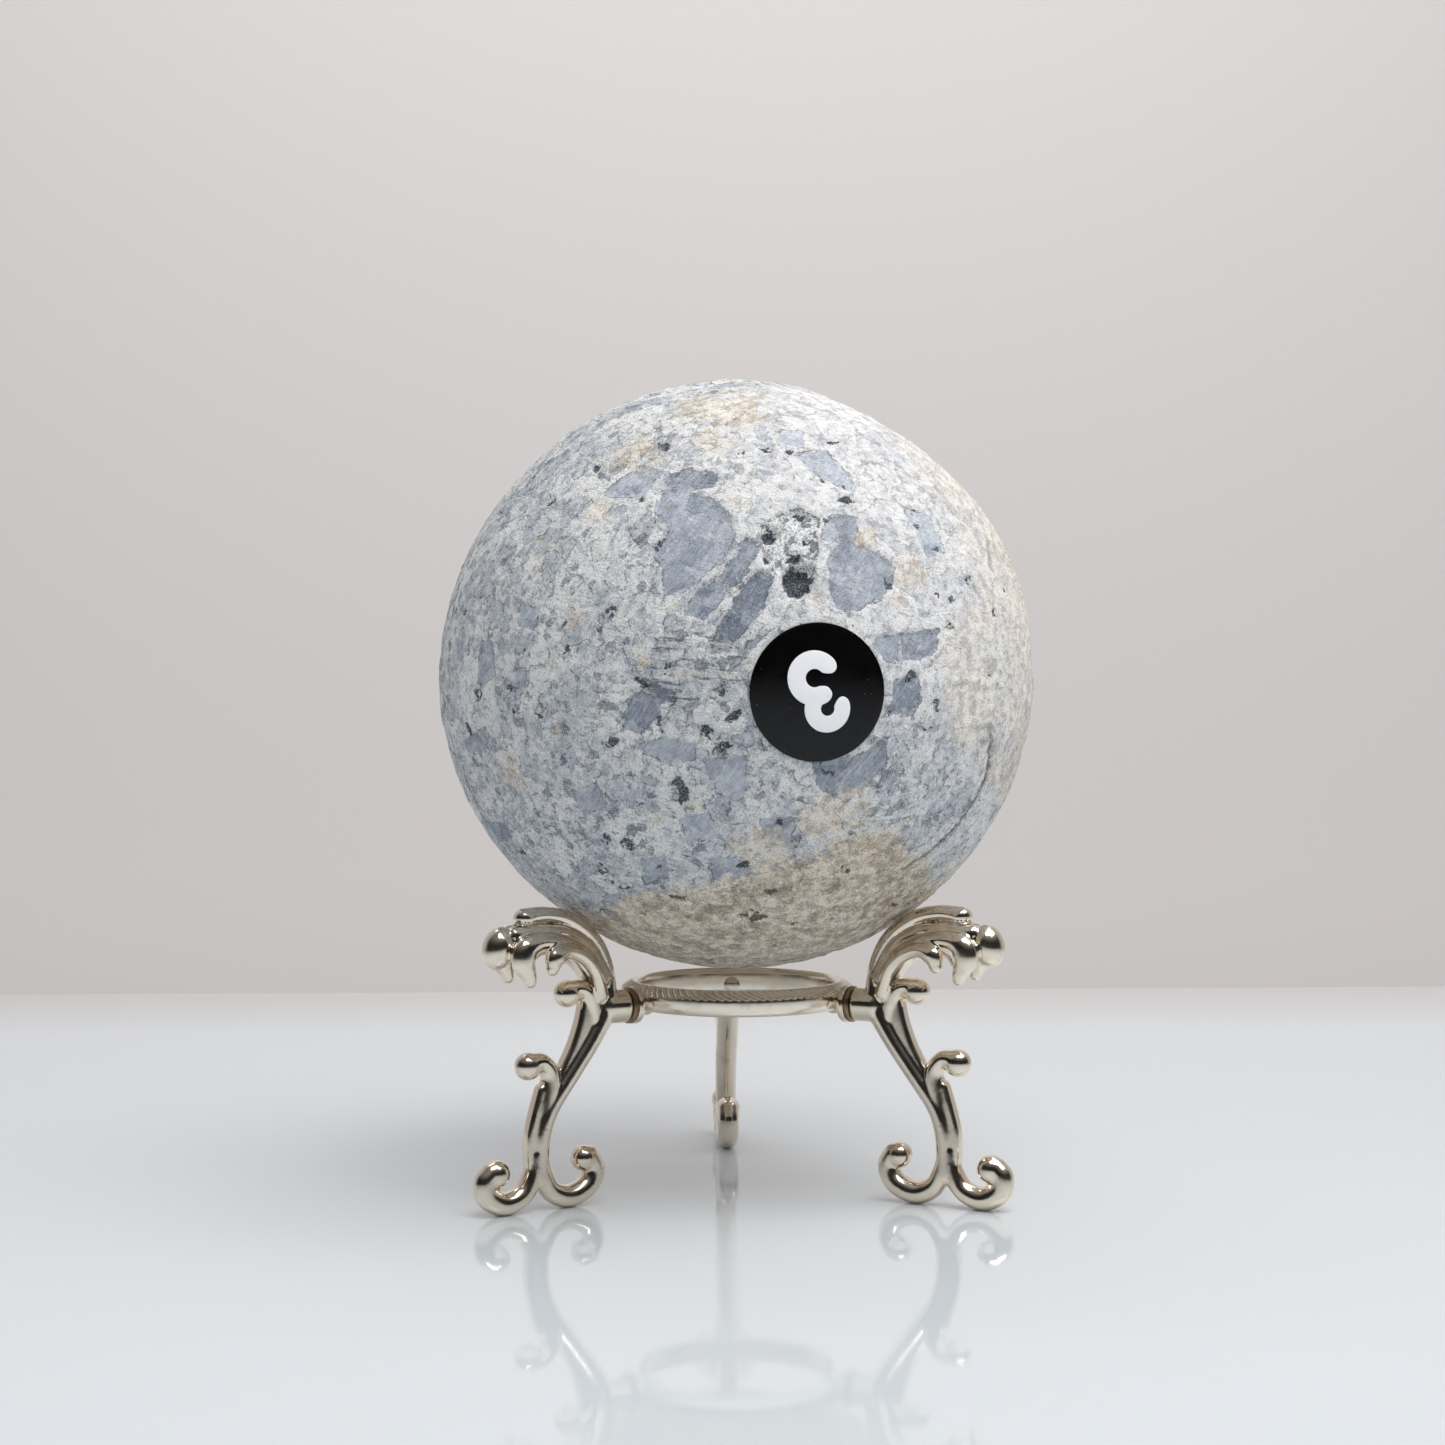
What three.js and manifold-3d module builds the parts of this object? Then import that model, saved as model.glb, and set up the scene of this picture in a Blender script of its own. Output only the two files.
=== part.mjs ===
// A numbered stone ball resting on a cast, three-legged display stand.
// Millimetres, +Z up. The origin is on the table under the middle of the stand's ring.
// The back leg points along +Y and the others stand 120 degrees to each side of it.
// The legs are rivetted to bosses on the ring and swivel about the rivets to pack flat.

import * as THREE from "three";
import * as BufferGeometryUtils from "three/addons/utils/BufferGeometryUtils.js";
import Module from "manifold-3d";

const wasm = await Module();
wasm.setup();

// Driving dimensions
const ball = { radius: 45.2, centre: [0.25, 0, 78.75], detail: 8 };

// Worn flats and fuller sides of the stone: where they lie, how deep or proud, how wide in degrees
const ballSwells = [
  { towards: [0.52, 0.0, 0.85], height: -1.7, spread: 17 },
  { towards: [-0.98, 0.05, -0.2], height: 0.9, spread: 32 },
  { towards: [0.1, 0.1, -1.0], height: -0.25, spread: 16 },
  { towards: [0.72, 0.1, -0.69], height: -0.7, spread: 12 },
  { towards: [-0.45, 0.7, 0.55], height: -0.8, spread: 20 },
  { towards: [0.5, 0.8, -0.33], height: 0.4, spread: 26 },
];

const label = {
  diameter: 19.0,
  thickness: 0.3,
  gap: 0.25,
  azimuth: -79.3,
  elevation: -4.2,
  rings: 4,
  facets: 30,
};

const ring = {
  innerRadius: 15.0,
  outerRadius: 18.0,
  bottom: 28.0,
  top: 31.8,
  edge: 0.35,
  bevel: 1.45,
  crestRadius: 15.7,
  facets: 48,
};

const pivotHeight = 29.0;
const boss = { radius: 2.75, start: 15.9, end: 18.9, facets: 20 };
const washer = { start: 19.2, thickness: 0.6, radius: 2.7 };
const neck = { start: 20.1, end: 24.6, radius: 2.5 };
const rivet = {
  shankRadius: 0.9,
  end: 23.4,
  headRadius: 1.7,
  headTop: 13.3,
  headSeat: 14.7,
  crownRadius: 1.02,
  crownRise: 0.2,
  shoulderRise: 0.8,
  facets: 16,
};
const fitGap = 0.3;
const overshoot = 1; // how far a cutting tool runs past the face that it opens

const legs = [
  { name: "left", azimuth: 210 },
  { name: "right", azimuth: 330 },
  { name: "back", azimuth: 90 },
];

// Ribbons of the cast leg in its own plane: [radius from the stand's axis, height, width].
// offset is how far a ribbon lies to each side of the plane.
const stem = {
  thickness: 3.6,
  stations: [[24.9, 30.2, 5.2], [26.7, 24.6, 4.5], [30.3, 19.2, 4.1], [33.9, 14.2, 4.1],
    [35.0, 9.4, 3.9], [34.8, 4.6, 4.0]],
};
const outerFoot = {
  thickness: 3.6,
  stations: [[35.6, 6.6, 2.6], [36.9, 3.0, 3.4], [40.3, 1.58, 3.5], [43.4, 3.7, 3.3], [42.8, 6.2, 3.0]],
};
const innerFoot = {
  thickness: 3.6,
  stations: [[34.0, 6.6, 2.6], [33.0, 3.0, 3.4], [29.6, 1.58, 3.5], [25.6, 4.2, 3.4], [26.4, 7.2, 3.0]],
};
const midCurl = {
  thickness: 3.4,
  stations: [[34.4, 13.0, 3.4], [33.0, 17.6, 3.5], [32.9, 20.6, 3.0], [34.9, 21.9, 2.8], [36.3, 21.4, 3.0]],
};
const lowCurl = {
  thickness: 3.4,
  stations: [[25.9, 26.0, 3.2], [26.2, 29.6, 3.0], [28.0, 31.9, 2.8], [29.8, 31.7, 3.0]],
};
const ridge = {
  thickness: 3.2,
  stations: [[23.4, 28.4, 3.4], [23.6, 34.7, 2.8], [25.8, 39.1, 2.8], [29.7, 42.05, 2.8],
    [33.6, 43.05, 2.7], [36.7, 42.8, 2.9]],
};
const spine = {
  thickness: 4.8,
  stations: [[24.3, 33.4, 2.6], [26.7, 38.0, 2.4], [30.4, 40.6, 2.3], [35.2, 41.3, 2.5], [39.4, 40.2, 3.2]],
};
const sideRib = {
  thickness: 2.6,
  offset: 2.9,
  stations: [[24.8, 33.4, 2.4], [27.9, 37.2, 2.2], [32.2, 39.3, 2.2], [37.6, 39.2, 2.6]],
};
const innerRib = {
  thickness: 2.4,
  offset: 3.9,
  stations: [[24.9, 32.0, 2.2], [27.6, 36.0, 2.0], [31.0, 38.0, 2.0], [33.8, 37.5, 2.2]],
};

// Rounded ends of the scrolls and the crest's drops: place in the leg's plane, half sizes
// across, along and out of the plane, and the lean of the long way from upright in degrees
const knobs = [
  { at: [41.6, 6.1], half: [2.05, 2.05, 2.05], lean: 0 },
  { at: [27.2, 7.0], half: [1.9, 1.9, 2.05], lean: 0 },
  { at: [36.4, 21.25], half: [2.05, 2.05, 1.95], lean: 0 },
  { at: [29.95, 31.45], half: [2.05, 2.05, 1.95], lean: 0 },
  { at: [36.8, 43.0], half: [1.6, 1.45, 1.8], lean: 0 },
  { at: [41.2, 38.6], half: [2.3, 3.2, 2.5], lean: 12 },
  { at: [38.5, 37.0], half: [1.9, 3.7, 1.8], lean: -8, offset: 3.4 },
  { at: [34.2, 36.6], half: [1.5, 2.1, 1.4], lean: 8, offset: 4.1 },
];

const knobFacets = { around: 8, along: 6 };
const groundCut = { length: 60, width: 20, depth: 10, centre: 35 }; // block below the table
const ribbonSteps = 2;
const capSteps = 3;
const ribbonBevel = 0.55;
const mergeTolerance = 1e-4;

const finishes = {
  stone: { color: 0xa9b1b9, roughness: 0.85, metalness: 0 },
  label: { color: 0x101012, roughness: 0.25, metalness: 0 },
  nickel: { color: 0xcfc8ba, roughness: 0.16, metalness: 1 },
  steel: { color: 0xb9b6b0, roughness: 0.3, metalness: 1 },
  brass: { color: 0xa98c62, roughness: 0.35, metalness: 1 },
};

// Merge a geometry down to bare shared vertices and make a solid of it
function solid(geometry) {
  const bare = geometry.clone();
  bare.deleteAttribute("normal");
  bare.deleteAttribute("uv");
  const merged = BufferGeometryUtils.mergeVertices(bare, mergeTolerance);
  const vertProperties = merged.attributes.position.array;
  const triVerts = Uint32Array.from(merged.index.array);
  return new wasm.Manifold(new wasm.Mesh({ numProp: 3, vertProperties, triVerts }));
}

function geometryOf(manifold) {
  const mesh = manifold.getMesh();
  const geometry = new THREE.BufferGeometry();
  geometry.setAttribute("position", new THREE.BufferAttribute(mesh.vertProperties, 3));
  geometry.setIndex(new THREE.BufferAttribute(mesh.triVerts, 1));
  geometry.computeVertexNormals();
  return geometry;
}

function node(name, geometry, finish, azimuth = 0) {
  const mesh = new THREE.Mesh(geometry, new THREE.MeshStandardMaterial(finish));
  mesh.name = name;
  mesh.rotation.z = THREE.MathUtils.degToRad(azimuth);
  return mesh;
}

// Turn a lathed or cylindrical shape from its +Y axis to the radial +X axis at pivot height
function alongRadius(geometry) {
  return geometry.rotateZ(-Math.PI / 2).translate(0, 0, pivotHeight);
}

// Cylinder along the radial axis from one radius to another
function radialCylinder(radius, start, end) {
  const cylinder = new THREE.CylinderGeometry(radius, radius, end - start, boss.facets);
  return solid(alongRadius(cylinder.translate(0, (start + end) / 2, 0)));
}

// Outline of a ribbon: its centre line offset by half its width, with round ends
function ribbonShape(stations) {
  const line = new THREE.SplineCurve(stations.map(([r, z]) => new THREE.Vector2(r, z)));
  const widths = new THREE.SplineCurve(stations.map(([, , width], i) => new THREE.Vector2(i, width)));
  const count = ribbonSteps * (stations.length - 1);
  const near = [];
  const far = [];
  for (let i = 0; i <= count; i += 1) {
    const centre = line.getPoint(i / count);
    const along = line.getTangent(i / count);
    const half = widths.getPoint(i / count).y / 2;
    const side = new THREE.Vector2(-along.y, along.x).multiplyScalar(half);
    near.push(centre.clone().sub(side));
    far.push(centre.clone().add(side));
  }
  const end = roundEnd(near[count], far[count]);
  const start = roundEnd(far[0], near[0]);
  return new THREE.Shape([...near, ...end, ...far.reverse(), ...start]);
}

// Points of the half circle that runs anticlockwise between two corners, without the corners
function roundEnd(from, to) {
  const centre = from.clone().add(to).multiplyScalar(0.5);
  const points = [];
  for (let i = 1; i < capSteps; i += 1) {
    points.push(from.clone().rotateAround(centre, (Math.PI * i) / capSteps));
  }
  return points;
}

// A ribbon as a solid in the leg's plane (+X outwards, +Z up), moved sideways by offset
function ribbonSolid({ thickness, stations }, offset = 0) {
  const geometry = new THREE.ExtrudeGeometry(ribbonShape(stations), {
    depth: thickness - 2 * ribbonBevel,
    steps: 1,
    bevelEnabled: true,
    bevelThickness: ribbonBevel,
    bevelSize: ribbonBevel,
    bevelOffset: -ribbonBevel,
    bevelSegments: 1,
  });
  geometry.translate(0, 0, offset + ribbonBevel - thickness / 2);
  return solid(geometry.rotateX(Math.PI / 2));
}

function knobSolid({ at, half, lean }, offset = 0) {
  const geometry = new THREE.SphereGeometry(1, knobFacets.around, knobFacets.along);
  geometry.scale(half[0], half[1], half[2]);
  geometry.rotateZ(THREE.MathUtils.degToRad(lean));
  geometry.translate(at[0], at[1], offset);
  return solid(geometry.rotateX(Math.PI / 2));
}

// Both copies of a piece that lies to the sides of the leg's plane, or the single middle one
function mirrored(make, piece) {
  if (!piece.offset) {
    return [make(piece)];
  }
  return [make(piece, piece.offset), make(piece, -piece.offset)];
}

// One cast leg in the plane of azimuth 0, drilled for its rivet and ground flat under the foot
function legGeometry() {
  const ribbons = [stem, outerFoot, innerFoot, midCurl, lowCurl, ridge, spine, sideRib, innerRib];
  const pieces = [
    ...ribbons.flatMap((piece) => mirrored(ribbonSolid, piece)),
    ...knobs.flatMap((piece) => mirrored(knobSolid, piece)),
    radialCylinder(neck.radius, neck.start, neck.end),
  ];
  const cast = pieces.reduce((joined, piece) => joined.add(piece));
  const bore = radialCylinder(rivet.shankRadius + fitGap, neck.start - overshoot, rivet.end + fitGap);
  const { length, width, depth, centre } = groundCut;
  const floor = new THREE.BoxGeometry(length, width, depth).translate(centre, 0, -depth / 2);
  return geometryOf(cast.subtract(bore).subtract(solid(floor)));
}

// Ring with a flat base, an upright inner wall and a sloping outer shoulder, plus three bosses
function ringGeometry() {
  const { innerRadius, outerRadius, bottom, top, edge, bevel, crestRadius, facets } = ring;
  const profile = [
    [innerRadius + edge, bottom],
    [outerRadius - edge, bottom],
    [outerRadius, bottom + edge],
    [outerRadius, top - bevel],
    [crestRadius + 2 * edge, top],
    [crestRadius, top],
    [innerRadius, top - 2 * edge],
    [innerRadius, bottom + edge],
    [innerRadius + edge, bottom],
  ].map(([r, z]) => new THREE.Vector2(r, z));
  let body = solid(new THREE.LatheGeometry(profile, facets).rotateX(Math.PI / 2));
  for (const leg of legs) {
    const turn = [0, 0, leg.azimuth];
    body = body.add(radialCylinder(boss.radius, boss.start, boss.end).rotate(turn));
    const bore = radialCylinder(rivet.shankRadius + fitGap, innerRadius - overshoot, boss.end + overshoot);
    body = body.subtract(bore.rotate(turn));
  }
  return geometryOf(body);
}

// Rivet: a domed head inside the ring, and a shank through the boss into the leg
function rivetGeometry() {
  const { shankRadius, end, headRadius, headTop, headSeat, crownRadius } = rivet;
  const profile = [
    [0, headTop],
    [crownRadius, headTop + rivet.crownRise],
    [headRadius, headTop + rivet.shoulderRise],
    [headRadius, headSeat],
    [shankRadius, headSeat],
    [shankRadius, end],
    [0, end],
  ].map(([r, along]) => new THREE.Vector2(r, along));
  return alongRadius(new THREE.LatheGeometry(profile, rivet.facets));
}

function washerGeometry() {
  const end = washer.start + washer.thickness;
  const disc = radialCylinder(washer.radius, washer.start, end);
  const hole = radialCylinder(rivet.shankRadius + fitGap, washer.start - overshoot, end + overshoot);
  return geometryOf(disc.subtract(hole));
}

// Radius of the stone towards a unit vector: the sphere plus its gentle flats and swells
function stoneRadius(direction) {
  return ballSwells.reduce((radius, { towards, height, spread }) => {
    const angle = direction.angleTo(new THREE.Vector3(...towards));
    const reach = angle / THREE.MathUtils.degToRad(spread);
    return radius + height * Math.exp(-reach * reach);
  }, ball.radius);
}

function ballGeometry() {
  const geometry = new THREE.IcosahedronGeometry(1, ball.detail);
  const position = geometry.attributes.position;
  const point = new THREE.Vector3();
  for (let i = 0; i < position.count; i += 1) {
    point.fromBufferAttribute(position, i).normalize();
    point.multiplyScalar(stoneRadius(point));
    position.setXYZ(i, point.x, point.y, point.z);
  }
  return geometryOf(solid(geometry).translate(ball.centre));
}

// Round sticker: a thin cap that follows the sphere
function labelGeometry() {
  const inner = ball.radius + label.gap;
  const outer = inner + label.thickness;
  const halfAngle = Math.asin(label.diameter / 2 / inner);
  const arc = (radius, angle) => new THREE.Vector2(radius * Math.sin(angle), radius * Math.cos(angle));
  const profile = [];
  for (let i = 0; i <= label.rings; i += 1) {
    profile.push(arc(inner, (halfAngle * i) / label.rings));
  }
  for (let i = label.rings; i >= 0; i -= 1) {
    profile.push(arc(outer, (halfAngle * i) / label.rings));
  }
  const geometry = new THREE.LatheGeometry(profile, label.facets).rotateZ(-Math.PI / 2);
  geometry.rotateY(-THREE.MathUtils.degToRad(label.elevation));
  geometry.rotateZ(THREE.MathUtils.degToRad(label.azimuth));
  return geometry.translate(...ball.centre);
}

const assembly = new THREE.Group();
assembly.add(node("stone_ball", ballGeometry(), finishes.stone));
assembly.add(node("number_label", labelGeometry(), finishes.label));
assembly.add(node("stand_ring", ringGeometry(), finishes.nickel));
const legShape = legGeometry();
for (const leg of legs) {
  assembly.add(node(`leg_${leg.name}`, legShape, finishes.nickel, leg.azimuth));
  assembly.add(node(`rivet_${leg.name}`, rivetGeometry(), finishes.steel, leg.azimuth));
  assembly.add(node(`washer_${leg.name}`, washerGeometry(), finishes.brass, leg.azimuth));
}

export default assembly;
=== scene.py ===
import math
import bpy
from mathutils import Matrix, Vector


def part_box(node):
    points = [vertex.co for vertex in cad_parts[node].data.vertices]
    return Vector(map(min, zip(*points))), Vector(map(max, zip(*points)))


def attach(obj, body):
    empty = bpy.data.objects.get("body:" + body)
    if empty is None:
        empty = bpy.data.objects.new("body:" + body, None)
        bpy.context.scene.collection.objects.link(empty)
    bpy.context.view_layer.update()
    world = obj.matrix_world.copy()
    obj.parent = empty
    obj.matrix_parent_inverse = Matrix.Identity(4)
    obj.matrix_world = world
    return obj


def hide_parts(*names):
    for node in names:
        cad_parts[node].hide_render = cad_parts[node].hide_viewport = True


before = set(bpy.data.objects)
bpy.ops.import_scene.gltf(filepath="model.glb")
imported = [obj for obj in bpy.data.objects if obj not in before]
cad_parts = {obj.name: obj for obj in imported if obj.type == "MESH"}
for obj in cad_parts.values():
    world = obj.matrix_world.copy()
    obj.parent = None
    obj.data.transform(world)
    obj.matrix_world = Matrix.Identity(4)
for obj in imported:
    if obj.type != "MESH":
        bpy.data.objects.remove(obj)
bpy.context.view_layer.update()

from types import SimpleNamespace

import bmesh
import bpy
import numpy as np
from mathutils import Vector

mm = 0.001
frontTurn = -2.8  # degrees from the -Y axis to the side of the ball that carries the label


def unit(vectors):
    return vectors / np.linalg.norm(vectors, axis=-1, keepdims=True)


def smoothPath(stations, steps):
    # Catmull-Rom curve through the stations, each a row of any number of values
    rows = np.asarray(stations, float)
    rows = np.vstack([2 * rows[0] - rows[1], rows, 2 * rows[-1] - rows[-2]])
    spans = len(stations) - 1
    t = np.linspace(0, spans, steps * spans + 1)
    i = np.minimum(t.astype(int), spans - 1)
    u = (t - i)[:, None]
    a, b, c, d = rows[i], rows[i + 1], rows[i + 2], rows[i + 3]
    return 0.5 * (2 * b + (c - a) * u + (2 * a - 5 * b + 4 * c - d) * u**2 + (3 * b - a - 3 * c + d) * u**3)


def gridQuads(rows, columns, closeRows=False, closeColumns=True):
    # faces of a grid of points numbered row by row, each direction open or closed on itself
    r = np.arange(rows if closeRows else rows - 1)[:, None]
    c = np.arange(columns if closeColumns else columns - 1)[None, :]
    rNext = (r + 1) % rows
    cNext = (c + 1) % columns
    corners = [r * columns + c, r * columns + cNext, rNext * columns + cNext, rNext * columns + c]
    return np.stack(corners, axis=-1).reshape(-1, 4)


def joinSurfaces(surfaces):
    # several (points, faces) surfaces as one
    points, faces, start = [], [], 0
    for surfacePoints, surfaceFaces in surfaces:
        points.append(surfacePoints)
        faces.append(surfaceFaces + start)
        start += len(surfacePoints)
    return np.vstack(points), np.vstack(faces)


def placeMesh(mesh):
    # a smooth-shaded object for a mesh, left at the origin
    mesh.shade_smooth()
    piece = bpy.data.objects.new(mesh.name, mesh)
    bpy.context.scene.collection.objects.link(piece)
    return piece


def makePiece(name, points, faces, scale=mm):
    # mesh object at the origin from points in millimetres; poles are welded and faces turned outwards
    mesh = bpy.data.meshes.new(name)
    mesh.from_pydata((points * scale).tolist(), [], faces.tolist())
    bm = bmesh.new()
    bm.from_mesh(mesh)
    bmesh.ops.remove_doubles(bm, verts=bm.verts, dist=1e-7)
    bmesh.ops.dissolve_degenerate(bm, edges=bm.edges, dist=1e-8)
    bmesh.ops.recalc_face_normals(bm, faces=bm.faces)
    bm.to_mesh(mesh)
    bm.free()
    return placeMesh(mesh)


def turned(points, azimuth):
    # points turned about the upright axis, in degrees
    a = math.radians(azimuth)
    turn = np.array([[math.cos(a), -math.sin(a), 0], [math.sin(a), math.cos(a), 0], [0, 0, 1]])
    return points @ turn.T


def latticeHash(cell, seed):
    # whole-number lattice points to repeatable numbers from 0 to 1, mixed by large odd multipliers
    c = cell.astype(np.int64)
    h = c[..., 0] * 374761393 + c[..., 1] * 668265263 + c[..., 2] * 1442695041 + seed * 1013904223
    h = h & 0xFFFFFFFF
    h = ((h ^ (h >> 13)) * 1274126177) & 0xFFFFFFFF
    h = ((h ^ (h >> 16)) * 2246822519) & 0xFFFFFFFF
    return ((h ^ (h >> 15)) & 0xFFFFFF) / 0xFFFFFF


def valueNoise(points, seed):
    # random values on the unit lattice, blended smoothly between its corners, from -1 to 1
    base = np.floor(points)
    f = points - base
    f = f * f * (3 - 2 * f)
    total = np.zeros(len(points))
    for corner in np.ndindex(2, 2, 2):
        weight = np.prod(np.where(corner, f, 1 - f), axis=1)
        total += weight * latticeHash(base + corner, seed)
    return 2 * total - 1


def fractalNoise(points, wavelength, octaves, seed, roughness=0.5):
    # octaves of value noise, each half the wavelength of the last and weaker by roughness
    total = np.zeros(len(points))
    size = 0.0
    for octave in range(octaves):
        strength = roughness**octave
        total += strength * valueNoise(points * (2**octave / wavelength) + 17.3 * octave, seed + octave)
        size += strength
    return total / size


def cellNoise(points, wavelength, seed):
    # distances to the two nearest of the scattered cell centres, and a random number for the nearest
    scaled = points / wavelength
    base = np.floor(scaled)
    first = np.full(len(points), 9.0)
    second = np.full(len(points), 9.0)
    tone = np.zeros(len(points))
    for offset in np.ndindex(3, 3, 3):
        cell = base + np.array(offset) - 1
        centre = cell + np.stack([latticeHash(cell, seed + k) for k in range(3)], axis=1)
        distance = np.linalg.norm(scaled - centre, axis=1)
        nearer = distance < first
        second = np.where(nearer, first, np.minimum(second, distance))
        tone = np.where(nearer, latticeHash(cell, seed + 7), tone)
        first = np.where(nearer, distance, first)
    return first * wavelength, second * wavelength, tone


def smoothStep(low, high, values):
    # 0 at low and 1 at high, eased at both ends
    t = np.clip((values - low) / (high - low), 0, 1)
    return t * t * (3 - 2 * t)


def rgb(red, green, blue):
    # screen colour from 0 to 255 as a linear colour
    def linear(value):
        v = value / 255
        return v / 12.92 if v <= 0.04045 else ((v + 0.055) / 1.055) ** 2.4
    return (linear(red), linear(green), linear(blue), 1.0)


def newMaterial(name):
    material = bpy.data.materials.new(name)
    material.use_nodes = True
    return material, material.node_tree, material.node_tree.nodes["Principled BSDF"]


def put(tree, socket, value):
    # link a node's output to a socket, or set the socket's own value
    if isinstance(value, bpy.types.NodeSocket):
        tree.links.new(value, socket)
    else:
        socket.default_value = value


def mathNode(tree, operation, a, b=0.0, clamp=False):
    node = tree.nodes.new("ShaderNodeMath")
    node.operation = operation
    node.use_clamp = clamp
    put(tree, node.inputs[0], a)
    put(tree, node.inputs[1], b)
    return node.outputs[0]


def product(tree, a, b):
    return mathNode(tree, "MULTIPLY", a, b)


def total(tree, a, b, clamp=False):
    return mathNode(tree, "ADD", a, b, clamp)


def mixColour(tree, factor, a, b):
    node = tree.nodes.new("ShaderNodeMix")
    node.data_type = "RGBA"
    put(tree, node.inputs["Factor"], factor)
    put(tree, node.inputs[6], a)  # sockets 6 and 7 and output 2 are the node's colours
    put(tree, node.inputs[7], b)
    return node.outputs[2]


def stepNode(tree, value, low, high, fromLow=0.0, toHigh=1.0):
    # smooth step of a value between two limits, which may run downwards
    node = tree.nodes.new("ShaderNodeMapRange")
    node.interpolation_type = "SMOOTHSTEP"
    put(tree, node.inputs["Value"], value)
    node.inputs["From Min"].default_value = low
    node.inputs["From Max"].default_value = high
    node.inputs["To Min"].default_value = fromLow
    node.inputs["To Max"].default_value = toHigh
    return node.outputs[0]


def noiseNode(tree, coordinates, scale, detail, roughness):
    node = tree.nodes.new("ShaderNodeTexNoise")
    put(tree, node.inputs["Vector"], coordinates)
    node.inputs["Scale"].default_value = scale
    node.inputs["Detail"].default_value = detail
    node.inputs["Roughness"].default_value = roughness
    return node.outputs["Fac"]


def cellNode(tree, coordinates, scale, feature="F1", output="Color"):
    node = tree.nodes.new("ShaderNodeTexVoronoi")
    node.feature = feature
    put(tree, node.inputs["Vector"], coordinates)
    node.inputs["Scale"].default_value = scale
    return node.outputs[output]


def tintNode(tree, colour):
    # one random number out of a cell's random colour
    node = tree.nodes.new("ShaderNodeSeparateColor")
    put(tree, node.inputs[0], colour)
    return node.outputs[0]


def jitter(tree, noise, amount):
    # a noise from 0 to 1 as an offset about nought
    return product(tree, mathNode(tree, "SUBTRACT", noise, 0.5), amount)


def raggedPlace(tree, coordinates, scale, amount):
    # coordinates pushed about by noise, so that cells made on them have jagged edges
    noise = tree.nodes.new("ShaderNodeTexNoise")
    put(tree, noise.inputs["Vector"], coordinates)
    noise.inputs["Scale"].default_value = scale
    noise.inputs["Detail"].default_value = 4
    push = tree.nodes.new("ShaderNodeVectorMath")
    push.operation = "MULTIPLY_ADD"
    put(tree, push.inputs[0], noise.outputs["Color"])
    push.inputs[1].default_value = (amount, amount, amount)
    put(tree, push.inputs[2], coordinates)
    return push.outputs[0]


def objectMillimetres(tree, stretch=(1, 1, 1), turn=(0, 0, 0)):
    # the piece's own coordinates in millimetres, turned and stretched for a directional grain
    coordinates = tree.nodes.new("ShaderNodeTexCoord").outputs["Object"]
    mapping = tree.nodes.new("ShaderNodeMapping")
    mapping.vector_type = "TEXTURE"  # turns first and stretches after
    put(tree, mapping.inputs["Vector"], coordinates)
    mapping.inputs["Scale"].default_value = [mm / s for s in stretch]
    mapping.inputs["Rotation"].default_value = [math.radians(t) for t in turn]
    return mapping.outputs[0]


def attributeNode(tree, name):
    node = tree.nodes.new("ShaderNodeAttribute")
    node.attribute_name = name
    return node.outputs["Fac"]


def bumpNode(tree, height, strength, distance):
    node = tree.nodes.new("ShaderNodeBump")
    node.inputs["Strength"].default_value = strength
    node.inputs["Distance"].default_value = distance
    put(tree, node.inputs["Height"], height)
    return node.outputs[0]


# All lengths here are millimetres, and places are degrees right of the front and above the middle
stone = {
    "centre": (0.25, 0.0, 78.75),
    "radius": 45.2,
    "detail": 127,  # cells along each side of the cube that is blown up to a ball
    "seed": 11,
    "undulation": 0.35,
    "facetSize": 6.5,
    "facetDepth": 0.22,
    "crumbSize": 2.6,
    "crumbDepth": 0.12,
    "grainDepth": 0.1,
    "sandDepth": 0.10,
    "faceSink": 1.5,  # times the depth given for each crystal face
    "vugDepth": 0.55,
    "crackDepth": 0.45,
    "streakDepth": 0.08,
    "labelSeat": 0.12,
    "reliefTop": 0.15,  # the most that anything stands above the swollen ball
    "scatteredFaces": 70,
    "scatteredPits": 220,
    "streakAt": (-8.5, 0),
    "streakSize": (8.0, 5.0),
    # painted light: middle of the paler upper right of the stone, which faces the main lamp
    "paintedLightAt": (48, 32),
    "rimEnd": 138,  # degrees round to where the beige side gives way to grey again
    # worn flats and fuller sides: direction, height in millimetres, spread in degrees
    "swells": [
        ((0.52, 0.0, 0.85), -1.7, 17),
        ((-0.98, 0.05, -0.2), 0.9, 32),
        ((0.1, 0.1, -1.0), -0.25, 16),
        ((0.72, 0.1, -0.69), -0.7, 12),
        ((-0.45, 0.7, 0.55), -0.8, 20),
        ((0.5, 0.8, -0.33), 0.4, 26),
    ],
}

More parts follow.
